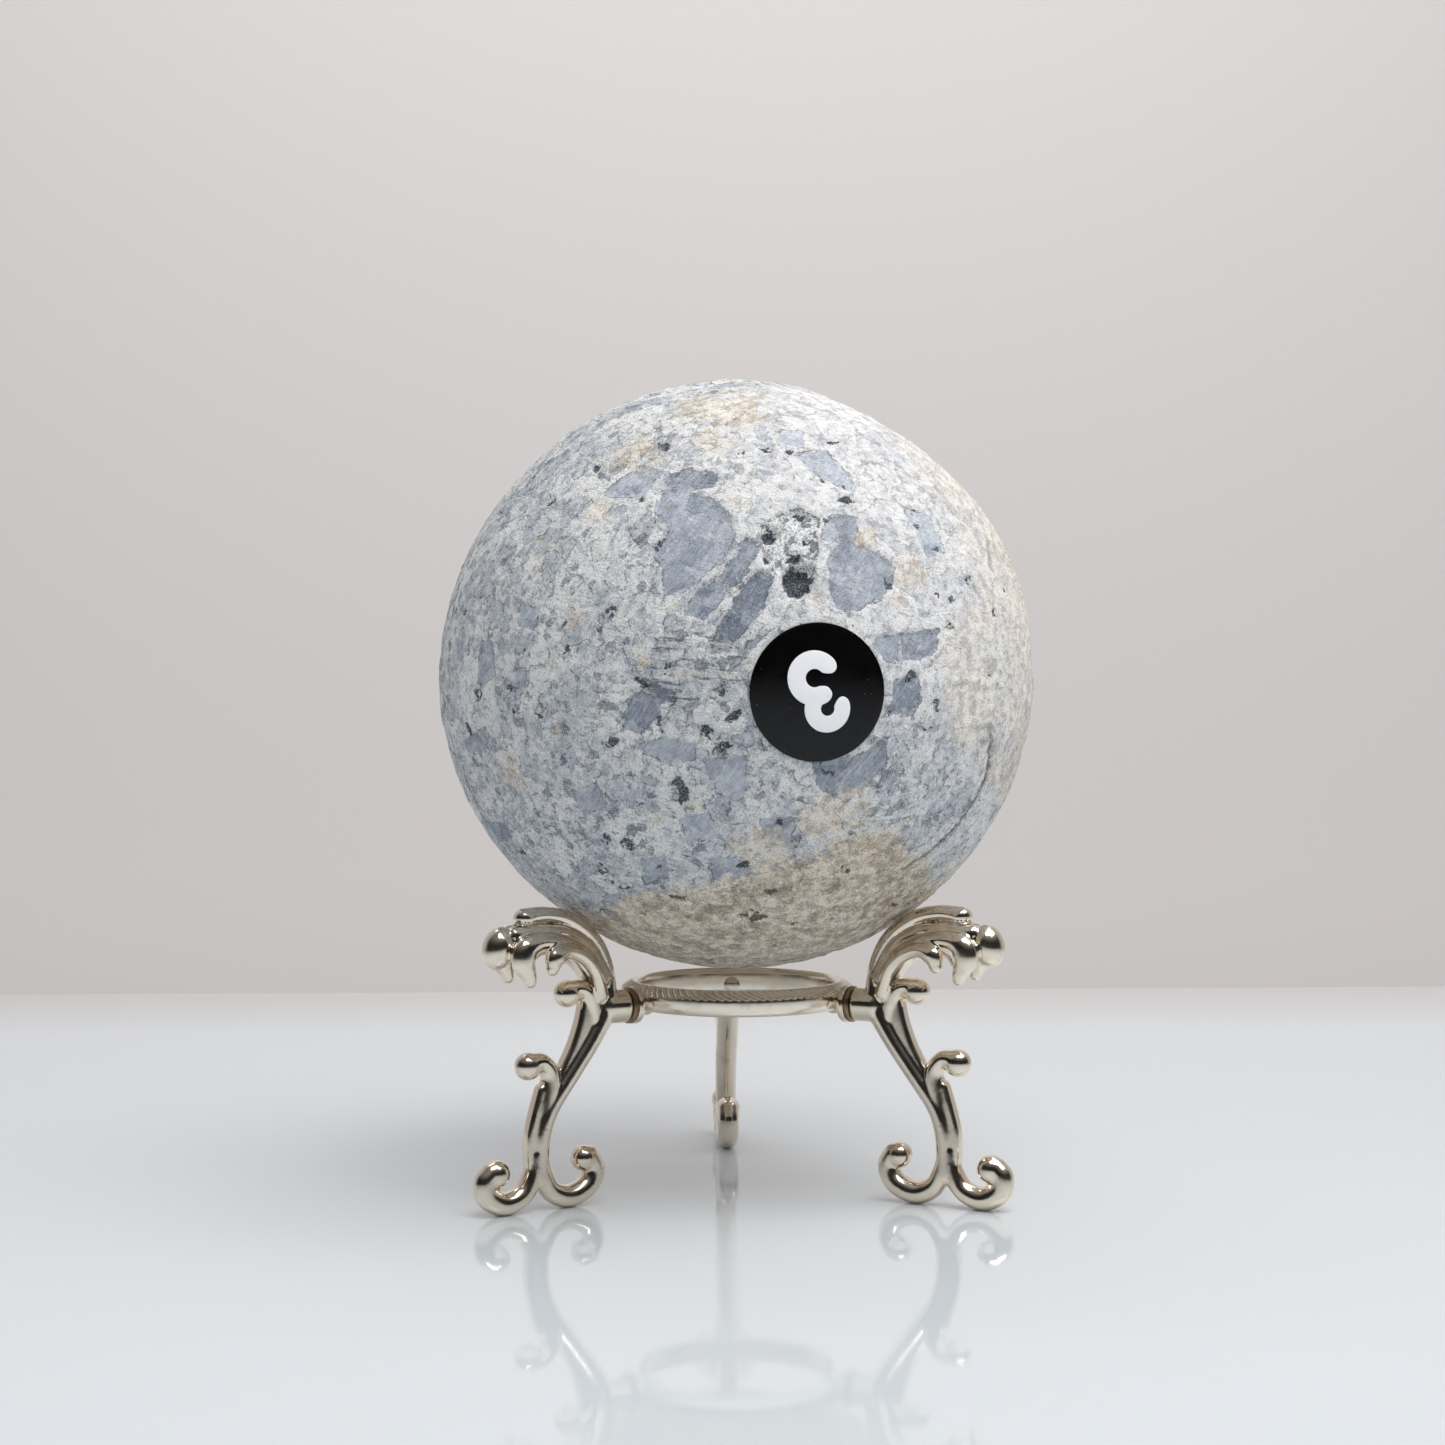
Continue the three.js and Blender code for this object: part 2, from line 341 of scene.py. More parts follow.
# Broken crystal faces on the front: outline in degrees (right of the front, above the middle),
# how far each is sunk in millimetres, and how dark it is
crystalFaces = [
    ([(-16.5, 33.5), (-10, 33), (-5.5, 31), (-2, 27.5), (-1, 23.5), (-2.5, 20), (-6, 16.5),
      (-11, 12.5), (-14, 14), (-14, 18), (-16, 19.5), (-14, 25), (-16.5, 27.5),
      (-17.5, 29.5)], 0.3, 0.55),
    ([(-17, 36.5), (-12, 38.5), (-5, 37), (-5.5, 34), (-10, 33.5), (-15.5, 33.5)], 0.3, 0.8),
    ([(3.5, 17.5), (6, 15.5), (3.5, 9.5), (-2.5, 2.5), (-5.5, 2.5), (-4, 7),
      (1, 15.5)], 0.45, 0.95),
    ([(1, 23.5), (3.5, 22), (1, 16.5), (-6.5, 8.5), (-10.5, 9), (-8.5, 12.5),
      (-3.5, 16.5)], 0.3, 0.72),
    ([(5.5, 7), (1.5, 3), (-1, -0.5), (-2.5, -1), (1, 4.5)], 0.35, 0.75),
    ([(-30.5, 34), (-24, 40), (-18, 38), (-20.5, 32), (-30, 32.5)], 0.2, 0.5),
    ([(16.5, 27), (21.5, 29), (24, 28), (23.5, 24.5), (22.5, 23), (18.5, 22.5),
      (15.5, 23.5)], 0.25, 0.62),
    ([(18, 22), (21.5, 23), (26, 21.5), (30, 18.5), (28.5, 14.5), (26.5, 12.5), (21, 10),
      (17.5, 10), (16, 13.5), (16, 19)], 0.35, 0.6),
    ([(11, 49), (18, 49), (16, 44), (9, 45)], 0.12, 0.3),
    ([(13, 42), (22, 44), (26, 36), (24, 33), (17, 37)], 0.15, 0.4),
    ([(-18, -2), (-11, -4), (-11, -6), (-14, -6)], 0.4, 0.95),
    ([(-20, -5.5), (-17.5, -3.5), (-14, -6.5), (-14, -8), (-18, -11.5),
      (-21.5, -10.5)], 0.3, 0.65),
    ([(-20, -13), (-13, -12), (-8, -13), (-8, -16), (-14, -17)], 0.18, 0.5),
    ([(-6.5, -16), (1, -15.5), (1.5, -21.5), (-1, -23.5), (-4.5, -22.5)], 0.3, 0.5),
    ([(13, -16), (22, -15), (27, -12), (28, -17), (25, -20.5), (20.5, -24),
      (15, -21.5)], 0.25, 0.8),
    ([(29, 6.5), (38, 7), (37, 3.5), (33.5, 1.5), (30, 1.5)], 0.25, 0.75),
    ([(23, 5.5), (29, 6), (29, 1), (26, 1)], 0.2, 0.45),
    ([(28, -2), (33, -1), (34, -5), (32, -8), (27, -8)], 0.25, 0.7),
    ([(-22.5, -36), (-16, -34.5), (-17, -40.5), (-23.5, -42)], 0.2, 0.65),
    ([(-6.5, -35.5), (1, -34.5), (2.5, -39), (-1, -41.5), (-6.5, -41)], 0.15, 0.5),
    ([(-56, 6), (-51, 5), (-50, -1), (-56, -3)], 0.15, 0.6),
    ([(-44, 12), (-39, 11), (-40, 7), (-44, 8)], 0.15, 0.55),
    ([(36, 30), (42, 30), (44, 22), (38, 20)], 0.12, 0.35),
    ([(-12, -27), (-6, -26), (-5, -31), (-11, -32)], 0.15, 0.45),
    ([(4, -27), (11, -27), (10, -33), (5, -32)], 0.15, 0.55),
    ([(-34, -22), (-28, -20), (-27, -25), (-33, -27)], 0.12, 0.5),
]

# Dark holes and chips on the front: place in degrees; half length, half width and depth in
# millimetres; lean in degrees; how dark
pits = [
    ((10.5, 15.3), 2.7, 2.1, 2.0, 60, 1.0), ((5.7, 24), 1.6, 0.9, 1.2, 15, 1.0),
    ((12.3, 28), 1.5, 0.5, 0.8, -20, 0.8), ((12.5, 23), 0.6, 0.5, 0.8, 0, 0.9),
    ((10, 19.5), 0.9, 0.6, 0.9, 20, 1.0), ((4.5, 19.5), 0.5, 1.3, 0.8, 10, 0.8),
    ((-5.7, -11.2), 1.7, 0.9, 0.8, -30, 0.8), ((-1, -8.4), 1.6, 0.6, 0.7, 30, 0.8),
    ((-3.2, -13.6), 1.3, 0.7, 0.6, 0, 0.7), ((-14, -10.5), 0.4, 1.4, 0.5, 20, 0.6),
    ((-11.3, -21.5), 0.8, 2.3, 0.8, 12, 0.75), ((-29.5, -31.5), 1.0, 0.8, 0.6, 0, 0.8),
    ((-24.5, -32.5), 1.3, 0.8, 0.6, -20, 0.9), ((-34, -38.5), 1.7, 1.1, 0.5, 0, 0.55),
    ((-31, -42), 1.4, 1.0, 0.4, 0, 0.5), ((-56, -4), 1.2, 1.1, 0.5, 0, 0.6),
    ((-45.5, -3.5), 1.0, 0.8, 0.4, 0, 0.45), ((-38, -7.5), 1.0, 1.0, 0.5, 0, 0.5),
    ((-61.5, -10.5), 0.5, 1.4, 0.5, 15, 0.7), ((-32, 3.5), 0.7, 0.5, 0.4, 30, 0.8),
    ((-41.5, 3.5), 0.9, 1.0, 0.3, 0, 0.4), ((-24, -13), 1.5, 0.8, 0.4, 10, 0.5),
    ((28.5, 15.5), 0.8, 1.4, 0.6, 20, 0.8), ((39, 13.5), 0.6, 0.5, 0.3, 0, 0.6),
    ((31.5, -1.5), 1.2, 0.9, 0.5, 40, 0.6), ((52.5, -1), 0.8, 0.9, 0.4, 0, 0.5),
    ((22, 31.5), 1.3, 0.4, 0.5, -20, 0.7), ((6.4, 43), 1.4, 0.5, 0.4, -30, 0.7),
    ((27, -7.5), 0.7, 1.0, 0.5, 0, 0.6), ((-17, -2.3), 0.5, 1.3, 0.5, 30, 0.7),
    ((-15.5, 22), 0.4, 1.8, 0.5, -15, 0.6), ((1, -37), 1.1, 0.4, 0.4, 10, 0.9),
    ((-16, -45), 1.6, 1.0, 0.4, 0, 0.5), ((8, -44), 1.2, 0.8, 0.4, 0, 0.6),
    ((3, -51), 2.0, 1.5, 0.4, 0, 0.5), ((-43, -50), 1.6, 0.5, 0.4, 10, 0.6),
]

# Tan iron stains on the front: place in degrees, radius in millimetres, strength
stains = [
    ((-14, 58), 6, 0.9), ((0, 55), 6, 0.95), ((-7, 46), 4, 0.8), ((-28, 44), 5, 0.9),
    ((-30, 30), 3, 0.8), ((-21, 41), 3, 0.7), ((33, 17.5), 3.2, 1.0), ((25, 23.5), 2.2, 0.9),
    ((29, 12), 2, 0.5), ((-50, -19), 3.6, 1.0), ((17, -27), 4.5, 1.0), ((22, -25), 4, 0.8),
    ((5, -34), 6, 0.9), ((25, -36), 7, 0.6), ((2, 63), 5, 0.7), ((-30.5, 8), 2.2, 0.9),
    ((-36, 0.5), 1.8, 0.7), ((-27, -7.5), 1.2, 0.9), ((-34.5, -10.5), 1.4, 0.7),
    ((-17, 2), 1.4, 0.8), ((-42, 22), 4, 0.4), ((-6, 6), 1.2, 0.5), ((13, 12.5), 2.0, 0.9),
    ((-9, -24.5), 1.6, 0.9), ((-17, -27), 2.6, 0.5), ((-12, 11), 1.5, 0.5), ((-1, 30), 2.2, 0.6),
]

# Outline of the sugary vug, the border of the sandy underside as (bearing, rise), that of the
# beige right-hand side as (rise, bearing), and the way that the crack takes
vugOutline = [(4, 25.5), (6.5, 27.5), (12, 29.5), (15.5, 27.5), (14.5, 20.5), (13, 16.5), (12.5, 12.5),
              (10.5, 11.5), (7, 15.5), (4, 19.5)]
sandBorder = [(-180, -48), (-68, -50), (-38, -48), (-18, -43), (-8, -41), (2, -40), (6, -37), (12, -36),
              (16, -35), (20, -33), (26, -31), (34, -30), (41, -35), (60, -44), (180, -48)]
rimBorder = [(-90, 95), (-30, 88), (-20, 57), (-12, 44), (-2, 40), (3, 40), (8, 45), (14, 50), (22, 50),
             (29, 48), (37, 47), (47, 52), (60, 70), (90, 90)]
crackRoute = [(55, -12), (56, -16), (57, -20), (56, -25), (53, -30), (48, -35), (42, -39)]


def towards(bearing, rise):
    # unit direction from the ball's centre: degrees right of the front and above the middle
    b, e = math.radians(bearing), math.radians(rise)
    front = np.array([math.sin(b) * math.cos(e), -math.cos(b) * math.cos(e), math.sin(e)])
    return turned(front[None], frontTurn)[0]


def localPlane(directions, centre):
    # right and up millimetres of each direction on the plane that touches the ball at centre
    side = unit(np.cross([0, 0, 1.0], centre))
    up = np.cross(centre, side)
    depth = directions @ centre
    ahead = depth > 0.5
    safe = np.where(ahead, depth, 1)
    flat = np.stack([directions @ side, directions @ up], axis=1) / safe[:, None] * stone["radius"]
    return np.where(ahead[:, None], flat, 99.0)


def outlineDistance(points, corners):
    # signed distance to a polygon on a plane, negative inside
    corners = np.asarray(corners, float)
    nearest = np.full(len(points), 1e9)
    inside = np.zeros(len(points), bool)
    for a, b in zip(corners, np.roll(corners, -1, axis=0)):
        edge = b - a
        along = np.clip(((points - a) @ edge) / (edge @ edge), 0, 1)
        nearest = np.minimum(nearest, np.linalg.norm(points - a - along[:, None] * edge, axis=1))
        crosses = (a[1] > points[:, 1]) != (b[1] > points[:, 1])
        rise = edge[1] if abs(edge[1]) > 1e-9 else 1e-9
        inside ^= crosses & (points[:, 0] < a[0] + (points[:, 1] - a[1]) / rise * edge[0])
    return np.where(inside, -nearest, nearest)


def cubeSphere(cuts):
    # unit directions and quads of a cube blown up to a sphere, its grid evened out by a tangent
    line = np.tan(np.linspace(-1, 1, cuts + 1) * math.pi / 4)
    u, v = np.meshgrid(line, line, indexing="ij")
    one = np.ones_like(u)
    sides = [(one, u, v), (-one, v, u), (v, one, u), (u, -one, v), (u, v, one), (v, u, -one)]
    points = np.vstack([np.stack(side, axis=-1).reshape(-1, 3) for side in sides])
    quads = gridQuads(cuts + 1, cuts + 1, closeColumns=False)
    faces = np.vstack([quads + k * (cuts + 1) ** 2 for k in range(6)])
    _, first, place = np.unique(np.round(points, 7), axis=0, return_index=True, return_inverse=True)
    return unit(points[first]), place.reshape(-1)[faces]


def swollenRadius(directions):
    # the plain radius plus each flat or swell, which fades with the square of the angle from it
    radius = np.full(len(directions), stone["radius"])
    for direction, height, spread in stone["swells"]:
        angle = np.arccos(np.clip(directions @ unit(np.array(direction)), -1, 1))
        radius += height * np.exp(-((angle / math.radians(spread)) ** 2))
    return radius


def drawnOutline(outline):
    # an outline in degrees as the direction of its middle and its corners on the plane there
    corners = np.array([towards(*corner) for corner in outline])
    centre = unit(corners.mean(axis=0))
    return centre, localPlane(corners, centre)


def scatteredFaces():
    # crystal faces over the sides, top and back, each an uneven five to eight cornered outline
    draw = np.random.default_rng(stone["seed"])
    found = []
    while len(found) < stone["scatteredFaces"]:
        centre = unit(draw.normal(size=3))
        bearing = math.degrees(math.atan2(centre[0], -centre[1]))
        rise = math.degrees(math.asin(centre[2]))
        size = draw.uniform(1.4, 5.5)
        corners = draw.integers(5, 9)
        lean, sink, tone = draw.uniform(0, 180), draw.uniform(0.08, 0.3), draw.uniform(0.3, 0.85)
        spokes = size * draw.uniform(0.6, 1.15, corners)
        turns = np.sort(draw.uniform(0, 360, corners)) + lean
        if abs(bearing) < 58 and -48 < rise < 52 and size > 1.9:
            continue  # the front has its own faces
        angles = np.radians(turns)
        outline = np.stack([1.4 * spokes * np.cos(angles), 0.8 * spokes * np.sin(angles)], axis=1)
        found.append((centre, outline, sink, tone))
    return found


def faceFields(directions, warp):
    # signed distance to the nearest crystal face, how dark it is, and how far the faces sink
    face = np.full(len(directions), 3.0)
    tone = np.zeros(len(directions))
    sink = np.zeros(len(directions))
    drawn = [(*drawnOutline(outline), depth, dark) for outline, depth, dark in crystalFaces]
    for centre, corners, depth, dark in drawn + scatteredFaces():
        distance = outlineDistance(localPlane(directions, centre) + warp * 0.4, corners)
        tone = np.where(distance < face, dark, tone)
        face = np.minimum(face, distance)
        sink = np.maximum(sink, depth * smoothStep(0.2, -0.25, distance))
    return face, tone, sink


def pitFields(directions, warp):
    # darkness and depth of the pits, each between an ellipse and a diamond in outline
    pit = np.zeros(len(directions))
    hollow = np.zeros(len(directions))
    power = 1.4
    for place, length, width, depth, lean, dark in pits + scatteredPits():
        centre = towards(*place) if len(place) == 2 else np.array(place)
        flat = localPlane(directions, centre) + warp
        a = math.radians(lean)
        along = np.abs(flat[:, 0] * math.cos(a) + flat[:, 1] * math.sin(a)) / length
        across = np.abs(flat[:, 1] * math.cos(a) - flat[:, 0] * math.sin(a)) / width
        inside = smoothStep(1.2, 0.8, (along**power + across**power) ** (1 / power))
        pit = np.maximum(pit, inside * dark)
        hollow = np.maximum(hollow, inside * depth)
    return pit, hollow


def stainField(directions, places, warp):
    # the drawn stains, and beyond the front softer ones laid by noise
    stain = np.zeros(len(directions))
    for place, radius, strength in stains:
        distance = np.linalg.norm(localPlane(directions, towards(*place)) + warp * 2.5, axis=1)
        stain = np.maximum(stain, strength * smoothStep(radius * 1.3, radius * 0.3, distance))
    farStain = fractalNoise(places, 14, 3, stone["seed"] + 60)
    beyondFront = smoothStep(0.5, 0.1, directions @ towards(-4, 6))
    return np.maximum(stain, 0.8 * beyondFront * smoothStep(0.1, 0.4, farStain))


def earthFields(directions, places):
    # signed distances to the borders of the sandy underside and of the beige side
    seed = stone["seed"]
    front = turned(directions, -frontTurn)
    bearing = np.degrees(np.arctan2(front[:, 0], -front[:, 1]))
    rise = np.degrees(np.arcsin(np.clip(front[:, 2], -1, 1)))
    degree = math.radians(stone["radius"])  # length of one degree along the surface
    drift = 3.5 * fractalNoise(places, 9, 4, seed + 70)
    sand = (rise - np.interp(bearing, *np.transpose(sandBorder))) * degree + drift
    edge = np.interp(rise, *np.transpose(rimBorder))
    farEdge = stone["rimEnd"] + 70 * fractalNoise(places, 24, 4, seed + 75)
    past = np.maximum(edge - bearing, bearing - farEdge)
    return sand, past * degree * np.cos(np.radians(rise)) + drift


def crackField(directions, warp):
    # distance to the nearest leg of the crack's route
    crack = np.full(len(directions), 3.0)
    for a, b in zip(crackRoute[:-1], crackRoute[1:]):
        ends = np.array([towards(*a), towards(*b)])
        centre = unit(ends[0] + ends[1])
        plane = localPlane(directions, centre) + warp * 0.5
        start, end = localPlane(ends, centre)
        leg = end - start
        along = np.clip(((plane - start) @ leg) / (leg @ leg), 0, 1)
        crack = np.minimum(crack, np.linalg.norm(plane - start - along[:, None] * leg, axis=1))
    return crack


def stoneFields(directions, places):
    # what lies where on the stone: signed distances in millimetres and strengths from 0 to 1
    noises = [fractalNoise(places, 2.2, 3, stone["seed"] + 40 + k, 0.7) for k in range(2)]
    warp = np.stack(noises, axis=1) * 0.8
    face, faceTone, sink = faceFields(directions, warp)
    pit, hollow = pitFields(directions, warp)
    sand, rim = earthFields(directions, places)
    vugCentre, vugCorners = drawnOutline(vugOutline)
    band = (localPlane(directions, towards(*stone["streakAt"])) + warp) / stone["streakSize"]
    fields = {
        "face": face,
        "faceTone": faceTone,
        # painted light: the upper right, which faces the main lamp, is made paler in the colour
        "paintedLight": smoothStep(0.55, 0.95, directions @ towards(*stone["paintedLightAt"])),
        "pit": pit,
        "stain": stainField(directions, places, warp),
        "vug": outlineDistance(localPlane(directions, vugCentre) + warp * 0.5, vugCorners),
        "sand": sand,
        "rim": rim,
        "crack": crackField(directions, warp),
        "streak": smoothStep(1.2, 0.8, np.hypot(band[:, 0], band[:, 1])),
    }
    return fields, sink, hollow


def scatteredPits():
    # small chips over the whole stone
    draw = np.random.default_rng(stone["seed"] + 5)
    found = []
    for _ in range(stone["scatteredPits"]):
        centre = unit(draw.normal(size=3))
        size = draw.uniform(0.2, 0.75)
        length = size * draw.uniform(1, 2.4)
        found.append((tuple(centre), length, size, size * 0.5, draw.uniform(0, 180), draw.uniform(0.3, 0.65)))
    return found


def labelCover(directions):
    # 1 under the label, fading to 0 just outside it
    angle = np.degrees(np.arccos(np.clip(directions @ towards(*label["at"]), -1, 1)))
    return smoothStep(label["halfAngle"] + 1.2, label["halfAngle"] + 0.2, angle)


def makeStone():
    # radius = swollen ball, less facets, sunk faces, pits, vug, crack and streaks, and layers of noise
    directions, quads = cubeSphere(stone["detail"])
    places = directions * stone["radius"]
    seed = stone["seed"]
    fields, sink, hollow = stoneFields(directions, places)
    shaken = places + 0.8 * fractalNoise(places, 4, 2, seed + 2)[:, None]
    nearest, second, tone = cellNoise(shaken, stone["facetSize"], seed + 20)
    smallNear, smallNext, smallTone = cellNoise(places, stone["crumbSize"], seed + 30)
    rough = 1 - 0.75 * smoothStep(0.2, -0.2, fields["face"])
    sandy = smoothStep(0.5, -0.5, np.minimum(fields["sand"], fields["rim"]))
    vugFloor = smoothStep(0.25, -0.4, fields["vug"])
    relief = stone["undulation"] * (fractalNoise(places, 15, 3, seed) + 0.2) * 0.6
    relief -= stone["facetDepth"] * tone * smoothStep(0.0, 0.5, second - nearest) * rough
    relief -= stone["crumbDepth"] * smallTone * rough * smoothStep(0.0, 0.3, smallNext - smallNear)
    relief += stone["grainDepth"] * fractalNoise(places, 2.2, 3, seed + 8, 0.7) * (0.35 + 0.65 * rough)
    relief += stone["sandDepth"] * sandy * fractalNoise(places, 1.6, 2, seed + 9)
    relief -= stone["faceSink"] * sink + hollow
    relief -= vugFloor * (stone["vugDepth"] + 0.6 * np.abs(fractalNoise(places, 2.0, 2, seed + 12)))
    relief -= stone["crackDepth"] * smoothStep(0.45, 0.0, fields["crack"])
    streakRows = np.sin(places[:, 2] * 4.2 + 2.2 * fractalNoise(places, 5, 2, seed + 14))
    relief -= stone["streakDepth"] * fields["streak"] * np.clip(streakRows, 0, 1)
    cover = labelCover(directions)
    relief = relief * (1 - cover) - stone["labelSeat"] * cover
    radius = swollenRadius(directions) + np.minimum(relief, stone["reliefTop"])
    points = directions * radius[:, None] + np.array(stone["centre"])
    points = np.clip(points, *(np.array(corner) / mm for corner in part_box("stone_ball")))
    mesh = bpy.data.meshes.new("stone_body")
    mesh.from_pydata((points * mm).tolist(), [], quads.tolist())
    for name, values in fields.items():
        attribute = mesh.attributes.new(name, "FLOAT", "POINT")
        attribute.data.foreach_set("value", values.astype(np.float32))
    return placeMesh(mesh)


stoneTints = {
    "matrix": (234, 236, 237),
    "matrixCloud": (201, 206, 213),
    "matrixGrey": (176, 185, 197),
    "matrixWhite": (244, 244, 242),
    # painted light: whiter patches on the lit upper right
    "paintedLightWhite": (248, 248, 248),
    "bigClast": (148, 160, 177),
    "bigPaleClast": (240, 241, 240),
    "smallClast": (140, 151, 167),
    "smallPaleClast": (236, 236, 235),
    "darkChip": (98, 108, 122),
    "cleavageLight": (242, 243, 242),
    "cleavageDark": (122, 133, 150),
    "line": (88, 94, 104),
    # painted light: pale wash on the lit upper right
    "paintedLightAndFilm": (236, 236, 237),
    "facePale": (216, 224, 235),
    "faceDark": (106, 119, 140),
    "faceStreak": (214, 212, 205),
    # painted shadow lines under the cleavage steps of the crystal faces
    "faceStepShadow": (64, 70, 80),
    "faceEdge": (76, 82, 92),
    "faceFringe": (238, 238, 236),
    "streakDark": (92, 98, 102),
    "streakCream": (216, 212, 198),
    "rimPale": (246, 240, 232),
    "rimDark": (214, 205, 193),
    "sandPale": (240, 229, 210),
    "sandDark": (196, 178, 152),
    "sandGrey": (190, 194, 198),
    "sandBrown": (116, 92, 70),
    "sandSpeck": (92, 72, 54),
    "stainPale": (242, 232, 215),
    "stainDark": (206, 186, 154),
    "sugar": (246, 246, 245),
    "sugarShade": (166, 173, 180),
    "sugarHole": (74, 86, 100),
    "vugEdge": (70, 80, 92),
    "pitDark": (38, 50, 64),
    "pitPale": (92, 104, 118),
    "pitSandy": (92, 74, 58),
    "crack": (98, 86, 76),
    "salt": (250, 250, 249),
    "pepper": (88, 94, 102),
    "speck": (112, 117, 122),
}


def tint(name):
    return rgb(*stoneTints[name])


def overlay(tree, colour, name, value, low, high, strength):
    # a tint laid over a colour where a value passes from low to high
    return mixColour(tree, stepNode(tree, value, low, high, 0, strength), colour, tint(name))


def stoneNoises(tree):
    # the noises and cells that the layers of the stone's colour share
    at = objectMillimetres(tree)
    jagged = raggedPlace(tree, at, 0.9, 1.5)
    big = tintNode(tree, cellNode(tree, jagged, 0.3))
    # cleavage: fine lines that lie one way in some crystals and another way in others
    slant = noiseNode(tree, objectMillimetres(tree, (0.3, 1, 2.2), (0, -52, 0)), 1.2, 4, 0.7)
    level = noiseNode(tree, objectMillimetres(tree, (0.4, 0.7, 2.4), (10, 12, 0)), 1.1, 4, 0.7)
    steep = noiseNode(tree, objectMillimetres(tree, (0.4, 0.7, 2.4), (0, 64, 20)), 1.2, 4, 0.7)
    cleavage = mixColour(tree, stepNode(tree, big, 0.44, 0.45), level, steep)
    cleavage = mixColour(tree, stepNode(tree, big, 0.56, 0.57), cleavage, slant)
    return SimpleNamespace(
        at=at,
        jagged=jagged,
        chipped=raggedPlace(tree, at, 1.8, 0.7),
        grain=noiseNode(tree, at, 4.4, 2, 0.6),
        fine=noiseNode(tree, at, 2.6, 3, 0.7),
        middle=noiseNode(tree, at, 0.7, 5, 0.7),
        cloud=noiseNode(tree, at, 0.12, 4, 0.6),
        big=big,
        small=tintNode(tree, cellNode(tree, jagged, 1.1)),
        slant=slant,
        cleavage=cleavage,
    )


def matrixLayer(tree, n):
    # pale matrix, clouded with grey
    paintedLight = attributeNode(tree, "paintedLight")
    colour = mixColour(tree, stepNode(tree, n.cloud, 0.40, 0.60), tint("matrix"), tint("matrixCloud"))
    colour = overlay(tree, colour, "matrixGrey", n.middle, 0.46, 0.66, 0.45)
    colour = overlay(tree, colour, "matrixWhite", n.middle, 0.44, 0.32, 0.35)
    # painted light: whiter patches on the upper right, which faces the main lamp
    paintedLightPatch = product(tree, paintedLight, stepNode(tree, n.middle, 0.64, 0.48, 0.5, 0.9))
    colour = mixColour(tree, paintedLightPatch, colour, tint("paintedLightWhite"))
    # angular clasts of two sizes, darker or paler than what holds them
    shaded = stepNode(tree, n.middle, 0.38, 0.54, 0.1, 0.5)
    bigDark = product(tree, stepNode(tree, n.big, 0.66, 0.68), shaded)
    colour = mixColour(tree, bigDark, colour, tint("bigClast"))
    colour = overlay(tree, colour, "bigPaleClast", n.big, 0.30, 0.28, 0.5)
    clouded = stepNode(tree, n.cloud, 0.36, 0.54, 0.1, 0.45)
    smallDark = product(tree, stepNode(tree, n.small, 0.74, 0.76), clouded)
    colour = mixColour(tree, smallDark, colour, tint("smallClast"))
    colour = overlay(tree, colour, "smallPaleClast", n.small, 0.24, 0.20, 0.25)
    chips = tintNode(tree, cellNode(tree, n.chipped, 0.75))
    colour = overlay(tree, colour, "darkChip", chips, 0.955, 0.962, 0.7)
    colour = overlay(tree, colour, "cleavageLight", n.cleavage, 0.53, 0.66, 0.36)
    colour = overlay(tree, colour, "cleavageDark", n.cleavage, 0.47, 0.35, 0.38)
    # thin broken lines between the clasts
    seam = stepNode(tree, cellNode(tree, n.jagged, 0.3, "DISTANCE_TO_EDGE", "Distance"), 0.045, 0.01)
    hair = cellNode(tree, n.chipped, 0.62, "DISTANCE_TO_EDGE", "Distance")
    lines = mathNode(tree, "MAXIMUM", seam, stepNode(tree, hair, 0.04, 0.01, 0, 0.8))
    lines = product(tree, lines, stepNode(tree, n.middle, 0.47, 0.56, 0, 0.7))
    colour = mixColour(tree, lines, colour, tint("line"))
    # painted light: the upper right, which faces the main lamp, is painted smoother and paler than the rest
    paintedLightAndFilm = product(tree, paintedLight, 0.4)
    return mixColour(tree, paintedLightAndFilm, colour, tint("paintedLightAndFilm")), lines, paintedLightAndFilm


def crystalLayer(tree, n, colour):
    # broken crystal faces with a fine slanting grain, painted shadow lines under their cleavage steps, and
    # lines along their edges
    edge = total(tree, attributeNode(tree, "face"), jitter(tree, n.small, 0.55))
    edge = total(tree, edge, jitter(tree, n.fine, 0.5))
    inFace = stepNode(tree, edge, 0.07, -0.07)
    dark = attributeNode(tree, "faceTone")
    tone = total(tree, dark, jitter(tree, n.big, 0.35))
    tone = total(tree, tone, jitter(tree, n.middle, 0.7))
    tone = total(tree, tone, jitter(tree, n.grain, 0.8))
    tone = total(tree, tone, jitter(tree, n.slant, 1.5), clamp=True)
    faceColour = mixColour(tree, tone, tint("facePale"), tint("faceDark"))
    faceColour = overlay(tree, faceColour, "faceStreak", n.slant, 0.58, 0.66, 0.4)
    # painted shadow: thin dark lines along the slant, standing for the shade under cleavage steps, stronger
    # on darker faces
    stepShadow = noiseNode(tree, objectMillimetres(tree, (0.09, 0.5, 1.0), (0, -52, 0)), 0.9, 3, 0.5)
    stepShadow = stepNode(tree, mathNode(tree, "ABSOLUTE", jitter(tree, stepShadow, 1.0)), 0.012, 0.003)
    stepShadow = product(tree, stepShadow, stepNode(tree, dark, 0.5, 0.9, 0.15, 0.85))
    faceColour = mixColour(tree, stepShadow, faceColour, tint("faceStepShadow"))
    colour = mixColour(tree, product(tree, inFace, 0.92), colour, faceColour)
    outline = stepNode(tree, mathNode(tree, "ABSOLUTE", edge), 0.17, 0.03)
    broken = stepNode(tree, noiseNode(tree, n.at, 0.6, 3, 0.5), 0.46, 0.54, 0, 0.75)
    colour = mixColour(tree, product(tree, outline, broken), colour, tint("faceEdge"))
    fringe = mathNode(tree, "ABSOLUTE", mathNode(tree, "SUBTRACT", edge, 0.4))
    return overlay(tree, colour, "faceFringe", fringe, 0.22, 0.06, 0.22), inFace


